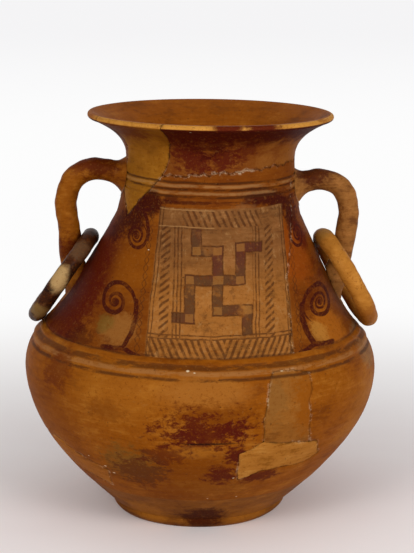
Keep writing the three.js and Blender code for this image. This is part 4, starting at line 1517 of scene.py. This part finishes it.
def start_finish(name):
    """A new material: its bench, shader and the object's own place."""
    material = bpy.data.materials.new(name)
    material.use_nodes = True
    bench = Bench(material.node_tree)
    shader = material.node_tree.nodes["Principled BSDF"]
    place = bench.put("ShaderNodeTexCoord", {}, out="Object")
    return material, bench, shader, place


def wall_sheet(bench):
    """The flat painting sheet that the outer faces of the wall lie on."""
    return bench.put("ShaderNodeUVMap", {}, uv_map="paint")


def sheet_height(bench, sheet):
    """The height on the painting sheet in millimetres."""
    apart = bench.put("ShaderNodeSeparateXYZ", {0: sheet}, out=None)
    return bench.sum("MULTIPLY", apart[1], 1 / PAPER_SCALE)


def patch_mask(bench, place, middle, reach, flatness, torn):
    """1 on a torn patch round a middle."""
    values = {"Place": place, "Middle": middle, "Reach": reach * MM}
    values.update({"Flatness": flatness, "Torn": torn})
    return use_group(bench, "patch", values)


def clouds(bench, place, size, pale, middle, dark):
    """Fired clay in three colours."""
    values = {"Place": place, "Size": size, "Pale": (*pale, 1), "Middle": (*middle, 1), "Dark": (*dark, 1)}
    return use_group(bench, "fire_clouds", values)


print("a chip is", CHIP_FLATNESS, "times as wide as high")

# %% Lay stains, chips and bands
BAND_SHAKE = 1.2
BAND_SOFT = 0.7
BAND_STRETCH = (1.0, 1.0, 4.0)


def lay_patches(bench, colour, place, patches):
    """Lays stains, bare places, painted shade and painted highlights over a colour."""
    for turn, height, reach, flatness, torn, tint, strength in patches:
        mask = patch_mask(bench, place, on_wall(turn, height), reach, flatness, torn)
        colour = bench.lay(colour, mask, strength, tint)
    return colour


def lay_chips(bench, colour, place, lowest, highest):
    """Small pale places between two heights where the surface has flaked off."""
    for turn, height, reach in CHIPS:
        if lowest < height < highest:
            mask = patch_mask(bench, place, on_wall(turn, height), reach, CHIP_FLATNESS, CHIP_TORN)
            colour = bench.blend(mask, colour, CHIP)
    return colour


def lay_ridges(bench, colour, place, sheet, ridges):
    """Thin bands of paint or wear that run round the jar at a height."""
    shaking = bench.noise(place, 40.0, 3, 0.6)
    off = bench.sum("MULTIPLY_ADD", shaking, 2 * BAND_SHAKE, -BAND_SHAKE)
    height = bench.sum("ADD", sheet_height(bench, sheet), off)
    broken = bench.rise(bench.noise(bench.stretch(place, BAND_STRETCH), 38.0, 5, 0.7), 0.38, 0.52)
    for middle, half, tint, strength in ridges:
        mask = bench.sum("MULTIPLY", bench.near(height, middle, half, BAND_SOFT), strength)
        colour = bench.lay(colour, mask, broken, tint)
    return colour


print("a band wavers up to", BAND_SHAKE, "mm")

# %% Finish the surface
SHEEN = 0.03
BUMP_STRENGTH = 0.5
BUMP_HEIGHT = 0.0005


def finish_surface(bench, shader, place, colour, gloss, dull, depth=0.6, pits=1.0, bare=0.15, lost=0.5):
    """Specks, cracks, roughness and bump that every clay surface has.

    Gloss and dull are the least and the greatest roughness. Bare says how much pale clay shows
    where a crack has flaked, and lost how dark the dirt along it is.
    """
    surface = use_group(bench, "burnish", {"Place": place, "Depth": depth, "Pits": pits}, out=None)
    colour = bench.lay(colour, bench.rise(surface["Grit"], 0.54, 0.66), 0.55, DEEP_BROWN)
    colour = bench.lay(colour, bench.rise(surface["Grit"], 0.44, 0.32), 0.30, TAN)
    colour = bench.lay(colour, surface["Specks"], 0.5, BLACK_DIRT_AND_SHADE)
    crack = bench.put("ShaderNodeAttribute", {}, out="Fac", attribute_name="crack")
    torn = bench.noise(place, 170.0, 5, 0.8)
    patchy = bench.rise(bench.noise(place, 24.0, 3, 0.6), 0.42, 0.62)
    flaked = bench.sum("MULTIPLY", bench.rise(crack, 0.05, 0.7), bench.rise(torn, 0.50, 0.60))
    flaked = bench.sum("MULTIPLY", flaked, patchy)
    colour = bench.lay(colour, flaked, bare, CHIP)
    stained = bench.sum("MULTIPLY", bench.rise(crack, 0.10, 0.9), bench.rise(torn, 0.56, 0.42))
    colour = bench.lay(colour, stained, lost, BLACK_DIRT_AND_SHADE)
    bench.link(colour, shader.inputs["Base Color"])
    rough = bench.sum("MULTIPLY_ADD", surface["Gloss"], dull - gloss, gloss)
    bench.link(rough, shader.inputs["Roughness"])
    bump = {"Height": surface["Height"], "Strength": BUMP_STRENGTH, "Distance": BUMP_HEIGHT}
    bench.link(bench.put("ShaderNodeBump", bump), shader.inputs["Normal"])
    shader.inputs["Specular IOR Level"].default_value = SHEEN


print("sheen", SHEEN, "and relief up to", BUMP_HEIGHT / MM, "mm")

# %% [markdown]
# ## The finishes of the pieces
# The walls share one order: fired clay, stains, painting, bands and chips. The neck also has a plain
# inside, a worn lip, and under the lip a dark zone of maroon paint and painted shade. Its height on
# the painting sheet tells them apart, because the inner faces lie off the sheet. Plaster is dull and
# even, and rolled clay has smaller clouds than a wall.

# %% The finish of the belly
def belly_finish(name, pale, middle, dark, patches):
    """Burnished clay with stains and the bands of the cordon."""
    material, bench, shader, place = start_finish(name)
    colour = clouds(bench, place, 9.0, pale, middle, dark)
    colour = lay_patches(bench, colour, place, patches)
    colour = lay_ridges(bench, colour, place, wall_sheet(bench), BELLY_RIDGES)
    colour = lay_chips(bench, colour, place, 0, CARINATION_HEIGHT)
    finish_surface(bench, shader, place, colour, 0.45, 0.7, bare=0.35, lost=0.3)
    return material


print("bands on the belly", len(BELLY_RIDGES))

# %% The finish of the painted shoulder
UPPER_GROUND = ((0.240, 0.100, 0.030), (0.165, 0.066, 0.018), (0.085, 0.032, 0.010))
LOWER_GROUND = ((0.350, 0.140, 0.032), (0.290, 0.108, 0.020), (0.170, 0.064, 0.012))
MOTTLE_STRETCH = (1.0, 1.0, 0.6)


def shoulder_finish(name, pale, middle, dark, patches):
    """Painted clay: the panel's pale ground, hooks, cross, blocks, lines and pale lines."""
    material, bench, shader, place = start_finish(name)
    sheet = wall_sheet(bench)
    colour = clouds(bench, place, 10.0, pale, middle, dark)
    colour = lay_patches(bench, colour, place, patches)
    paint = use_group(bench, "panel_paint", {"Sheet": sheet, "Place": place}, out=None)
    upper = clouds(bench, place, 16.0, *UPPER_GROUND)
    lower = clouds(bench, place, 16.0, *LOWER_GROUND)
    ground = bench.blend(paint["Lower"], upper, lower)
    mottle = bench.noise(bench.stretch(place, MOTTLE_STRETCH), 130.0, 6, 0.8)
    ground = bench.lay(ground, bench.rise(mottle, 0.53, 0.66), 0.45, PALE_LINE)
    ground = bench.lay(ground, bench.rise(mottle, 0.46, 0.34), 0.55, SHADE_BROWN)
    colour = bench.lay(colour, paint["Field"], 0.9, ground)
    hook = use_group(bench, "hook_paint", {"Sheet": sheet, "Place": place})
    worn = bench.rise(bench.noise(place, 110.0, 4, 0.7), 0.36, 0.52)
    colour = bench.lay(colour, hook, bench.sum("MULTIPLY_ADD", worn, 0.40, 0.55), HOOK_PAINT)
    reddish = bench.rise(bench.noise(place, 26.0, 2, 0.5), 0.44, 0.58)
    colour = bench.lay(colour, paint["Bars"], 0.88, bench.blend(reddish, BAR_PAINT, BAR_RED))
    colour = bench.lay(colour, paint["Blocks"], 0.55, TAN)
    colour = bench.lay(colour, paint["Lines"], 0.75, DARK_PAINT)
    colour = bench.lay(colour, paint["Pale"], 0.5, PALE_LINE)
    colour = lay_ridges(bench, colour, place, sheet, SHOULDER_RIDGES)
    colour = lay_chips(bench, colour, place, CARINATION_HEIGHT, WAIST_HEIGHT)
    finish_surface(bench, shader, place, colour, 0.5, 0.75, bare=0.45)
    return material


print("bands on the shoulder", len(SHOULDER_RIDGES))

# %% The finish of the neck
INSIDE_COLOURS = ((0.290, 0.090, 0.008), (0.225, 0.058, 0.003), (0.140, 0.036, 0.003))
LIP_COLOURS = ((0.580, 0.270, 0.055), (0.480, 0.210, 0.034), (0.300, 0.105, 0.012))
# heights where the wall under the lip darkens: maroon paint, and painted shade under the flare
PAINT_AND_SHADE_ZONE = (326, 338)
PAINT_AND_SHADE_ZONE_SHAKE = 17.0
PAINT_AND_SHADE_ZONE_STRETCH = (1.0, 1.0, 0.4)
OFF_SHEET = (-20, 0)
LIP_EDGE = (346.0, 347.0)


def neck_finish(name, pale, middle, dark, patches, bare, shade):
    """Inside, outside, lip and the maroon paint and painted shade under the lip, told apart by height."""
    material, bench, shader, place = start_finish(name)
    sheet = wall_sheet(bench)
    height = sheet_height(bench, sheet)
    outside = clouds(bench, place, 12.0, pale, middle, dark)
    outside = lay_patches(bench, outside, place, patches)
    ragged_edge = bench.noise(bench.stretch(place, PAINT_AND_SHADE_ZONE_STRETCH), 60.0, 5, 0.75)
    under = bench.sum("SUBTRACT", height, PAINT_AND_SHADE_ZONE_SHAKE)
    under = bench.sum("MULTIPLY_ADD", ragged_edge, 2 * PAINT_AND_SHADE_ZONE_SHAKE, under)
    # darkens the wall under the lip: maroon paint and painted shade under the flared lip
    outside = bench.lay(outside, bench.rise(under, *PAINT_AND_SHADE_ZONE), shade, UNDER_LIP_PAINT_AND_SHADE)
    outside = lay_ridges(bench, outside, place, sheet, NECK_RIDGES)
    inside = clouds(bench, place, 11.0, *INSIDE_COLOURS)
    lip = lay_patches(bench, clouds(bench, place, 13.0, *LIP_COLOURS), place, LIP_PATCHES)
    colour = bench.blend(bench.rise(height, *OFF_SHEET), inside, outside)
    colour = bench.blend(bench.rise(height, *LIP_EDGE), colour, lip)
    colour = lay_chips(bench, colour, place, WAIST_HEIGHT, RIM_HEIGHT)
    finish_surface(bench, shader, place, colour, 0.45, 0.7, bare=bare, lost=0.6)
    return material


print("bands on the neck", len(NECK_RIDGES))

# %% The finishes of plaster, rolled clay and the foot
FOOT_COLOURS = ((0.270, 0.094, 0.011), (0.190, 0.060, 0.007), (0.095, 0.026, 0.005))
ROLLED_GLOSS = 0.36
ROLLED_RANGE = 0.25


def plaster_finish(name, pale, middle, dark):
    """Dull, even plaster with shallow strokes."""
    material, bench, shader, place = start_finish(name)
    colour = clouds(bench, place, 14.0, pale, middle, dark)
    finish_surface(bench, shader, place, colour, 0.55, 0.8, depth=0.3, pits=0.6)
    return material


def rolled_finish(name, pale, middle, dark, patches, gloss=ROLLED_GLOSS):
    """Handles and rings: patches are (place in metres, reach, flatness, torn, colour, strength)."""
    material, bench, shader, place = start_finish(name)
    colour = clouds(bench, place, 24.0, pale, middle, dark)
    for centre, reach, flatness, torn, tint, strength in patches:
        mask = patch_mask(bench, place, centre, reach, flatness, torn)
        colour = bench.lay(colour, mask, strength, tint)
    finish_surface(bench, shader, place, colour, gloss, gloss + ROLLED_RANGE, depth=0.5, pits=1.2)
    return material


def foot_finish(name):
    """The worn, stained clay of the foot."""
    material, bench, shader, place = start_finish(name)
    colour = clouds(bench, place, 16.0, *FOOT_COLOURS)
    colour = lay_patches(bench, colour, place, FOOT_PATCHES)
    finish_surface(bench, shader, place, colour, 0.42, 0.68, depth=0.5, pits=1.2)
    return material


print("stains on the foot", len(FOOT_PATCHES))

# %% Give every piece its finish
shoulder_colours = ((0.215, 0.060, 0.004), (0.155, 0.037, 0.002), (0.090, 0.015, 0.001))
belly_colours = (OCHRE, WARM_BROWN, DEEP_BROWN)
finishes = {
    "foot_ring": foot_finish("foot_clay"),
    "belly_wall": belly_finish("belly_clay", *belly_colours, BELLY_PATCHES),
    "belly_sherd_right": belly_finish(
        "sherd_clay",
        (0.300, 0.118, 0.020),
        (0.240, 0.084, 0.011),
        (0.155, 0.050, 0.006),
        ((37, 128, 24, 0.6, 2.0, WARM_BROWN, 0.9), (23, 135, 16, 0.6, 2.6, (0.190, 0.080, 0.016), 0.6)),
    ),
    "belly_sherd_left": belly_finish(
        "pale_sherd_clay",
        (0.400, 0.150, 0.018),
        (0.280, 0.088, 0.008),
        (0.150, 0.040, 0.003),
        (),
    ),
    "belly_fill": plaster_finish("belly_plaster", PLASTER_PALE, PLASTER, PLASTER_DARK),
    "shoulder_wall": shoulder_finish("shoulder_clay", *shoulder_colours, SHOULDER_PATCHES),
    "shoulder_sherd_right": shoulder_finish("shoulder_sherd_clay", *shoulder_colours, SHOULDER_PATCHES),
    "neck_wall": neck_finish(
        "neck_clay",
        (0.210, 0.070, 0.009),
        (0.150, 0.038, 0.004),
        (0.085, 0.014, 0.002),
        NECK_PATCHES,
        bare=0.3,
        shade=1.0,
    ),
    "neck_fill": neck_finish(
        "neck_plaster",
        (0.300, 0.118, 0.009),
        (0.240, 0.086, 0.005),
        (0.170, 0.058, 0.003),
        # dark red at the top of the plaster: painted shade under the flared lip, together with the maroon
        # paint there
        ((-50, 342, 40, 2.6, 1.6, (0.110, 0.020, 0.002), 0.8),),
        bare=0.1,
        shade=0.35,
    ),
    "handle_left": rolled_finish(
        "handle_left_clay",
        (0.290, 0.096, 0.009),
        (0.215, 0.060, 0.003),
        (0.120, 0.028, 0.002),
        (
            ((-0.085, 0, 0.306), 24, 1.2, 2.0, (0.070, 0.008, 0.001), 0.9),
            ((-0.103, -0.002, 0.303), 14, 1.2, 2.0, (0.110, 0.018, 0.002), 0.7),
            ((-0.110, 0, 0.232), 18, 1.0, 1.8, RED, 0.9),
        ),
    ),
    "handle_right": rolled_finish(
        "handle_right_clay",
        (0.370, 0.150, 0.038),
        (0.250, 0.098, 0.022),
        (0.125, 0.042, 0.010),
        (
            ((0.100, 0, 0.297), 22, 1.2, 2.2, (0.060, 0.010, 0.003), 0.9),
            ((0.124, 0.002, 0.262), 12, 0.5, 2.4, (0.110, 0.030, 0.006), 0.7),
        ),
    ),
    "ring_left": rolled_finish(
        "ring_left_clay",
        (0.100, 0.032, 0.010),
        (0.038, 0.010, 0.003),
        (0.008, 0.003, 0.002),
        (
            ((-0.1185, -0.049, 0.216), 11.5, 0.58, 1.2, (0.400, 0.250, 0.100), 0.95),
            # the two near-black patches are painted shade on the ring's inner side, which faces the wall
            ((-0.1010, -0.040, 0.214), 12, 0.8, 1.0, BLACK_DIRT_AND_SHADE, 0.95),
            ((-0.1180, -0.042, 0.190), 12, 0.8, 1.0, BLACK_DIRT_AND_SHADE, 0.95),
            ((-0.138, -0.036, 0.181), 13, 1.0, 1.4, (0.200, 0.110, 0.030), 0.8),
            ((-0.100, -0.036, 0.238), 15, 1.0, 1.6, (0.110, 0.055, 0.025), 0.7),
        ),
        gloss=0.24,
    ),
    "ring_right": rolled_finish(
        "ring_right_clay",
        (0.470, 0.195, 0.032),
        (0.385, 0.148, 0.020),
        (0.270, 0.090, 0.010),
        (
            ((0.145, -0.030, 0.178), 18, 1.0, 1.4, (0.270, 0.085, 0.010), 0.8),
            ((0.106, -0.010, 0.244), 15, 1.0, 1.4, (0.300, 0.150, 0.030), 0.6),
        ),
    ),
}
for name, piece in pieces.items():
    piece.data.materials.append(finishes[name])
print("finishes", len(finishes))

# %% [markdown]
# ## Floor and light
# The jar stands on a wide sheet of white paper. Near the jar the paper takes the light and keeps the
# jar's faint shadow. Further off it goes over into a plain white glow, and the world behind it has
# the same white, so no edge shows from any side. Only the rays of the camera and those that a
# reflection or glass sends on meet this white. The clay's own colour is lit by the lamps and by
# the grey light of the world, which stay at a plain level.

# %% Make the paper
scene.view_settings.view_transform = "Standard"
PAPER_RADIUS = 9
PAPER_SIDES = 96
GLOW_START = 0.10
GLOW_FULL = 0.85
GLOW_NEAR = (0.98, 0.98, 0.98)
GLOW_FAR = (0.91, 0.905, 0.915)
GLOW_FADE = (2.0, 6.5)
PAPER_TONES = ((0.95, 0.87, 0.86), (0.98, 0.92, 0.91))

rim = 2 * math.pi * np.arange(PAPER_SIDES) / PAPER_SIDES
corners = [(PAPER_RADIUS * math.cos(a), PAPER_RADIUS * math.sin(a), 0.0) for a in rim]
paper_mesh = bpy.data.meshes.new("paper_sheet")
paper_mesh.from_pydata(corners, [], [tuple(range(PAPER_SIDES))])
paper_sheet = bpy.data.objects.new("paper_sheet", paper_mesh)
scene.collection.objects.link(paper_sheet)


def seen_directly(bench):
    """1 for rays that show something to the camera, straight or in a reflection."""
    ray = bench.put("ShaderNodeLightPath", {}, out=None)
    return any_of(bench, [ray["Is Camera Ray"], ray["Is Glossy Ray"], ray["Is Transmission Ray"]])


paper = bpy.data.materials.new("white_paper")
paper.use_nodes = True
bench = Bench(paper.node_tree)
shader = paper.node_tree.nodes["Principled BSDF"]
place = bench.put("ShaderNodeTexCoord", {}, out="Object")
mottle = bench.noise(place, 3.0, 3, 0.6)
tone = bench.blend(bench.rise(mottle, 0.35, 0.65), *PAPER_TONES)
off = bench.put("ShaderNodeVectorMath", {0: place}, out="Value", operation="LENGTH")
far = bench.sum("MULTIPLY", bench.rise(off, GLOW_START, GLOW_FULL), seen_directly(bench))
black = (0.0, 0.0, 0.0)
glow = bench.blend(bench.rise(off, *GLOW_FADE), GLOW_NEAR, GLOW_FAR)
bench.link(bench.blend(far, tone, black), shader.inputs["Base Color"])
bench.link(bench.blend(far, black, glow), shader.inputs["Emission Color"])
shader.inputs["Emission Strength"].default_value = 1.0
shader.inputs["Roughness"].default_value = 0.9
shader.inputs["Specular IOR Level"].default_value = 0.0
paper_sheet.data.materials.append(paper)
print("paper", 2 * PAPER_RADIUS, "m across")

# %% Light the world and hang the lamps
WORLD_LIGHT = 0.48
world = bpy.data.worlds.new("studio")
scene.world = world
world.use_nodes = True
bench = Bench(world.node_tree)
background = world.node_tree.nodes["Background"].inputs
light = (WORLD_LIGHT, WORLD_LIGHT, WORLD_LIGHT)
bench.link(bench.blend(seen_directly(bench), light, GLOW_FAR), background["Color"])
background["Strength"].default_value = 1.0


def soft_lamp(name, place, size, power):
    """A square lamp that looks at the middle of the jar."""
    data = bpy.data.lights.new(name, "AREA")
    data.size = size
    data.energy = power
    lamp = bpy.data.objects.new(name, data)
    lamp.location = place
    target = (cad_low + cad_high) / 2
    lamp.rotation_euler = (target - lamp.location).to_track_quat("-Z", "Y").to_euler()
    scene.collection.objects.link(lamp)
    print(name, "at", place, "gives", power, "W")


soft_lamp("key_left", (-0.9, -1.6, 1.1), 0.8, 14)
soft_lamp("key_right", (1.1, -1.5, 0.95), 0.8, 16.5)

# %% [markdown]
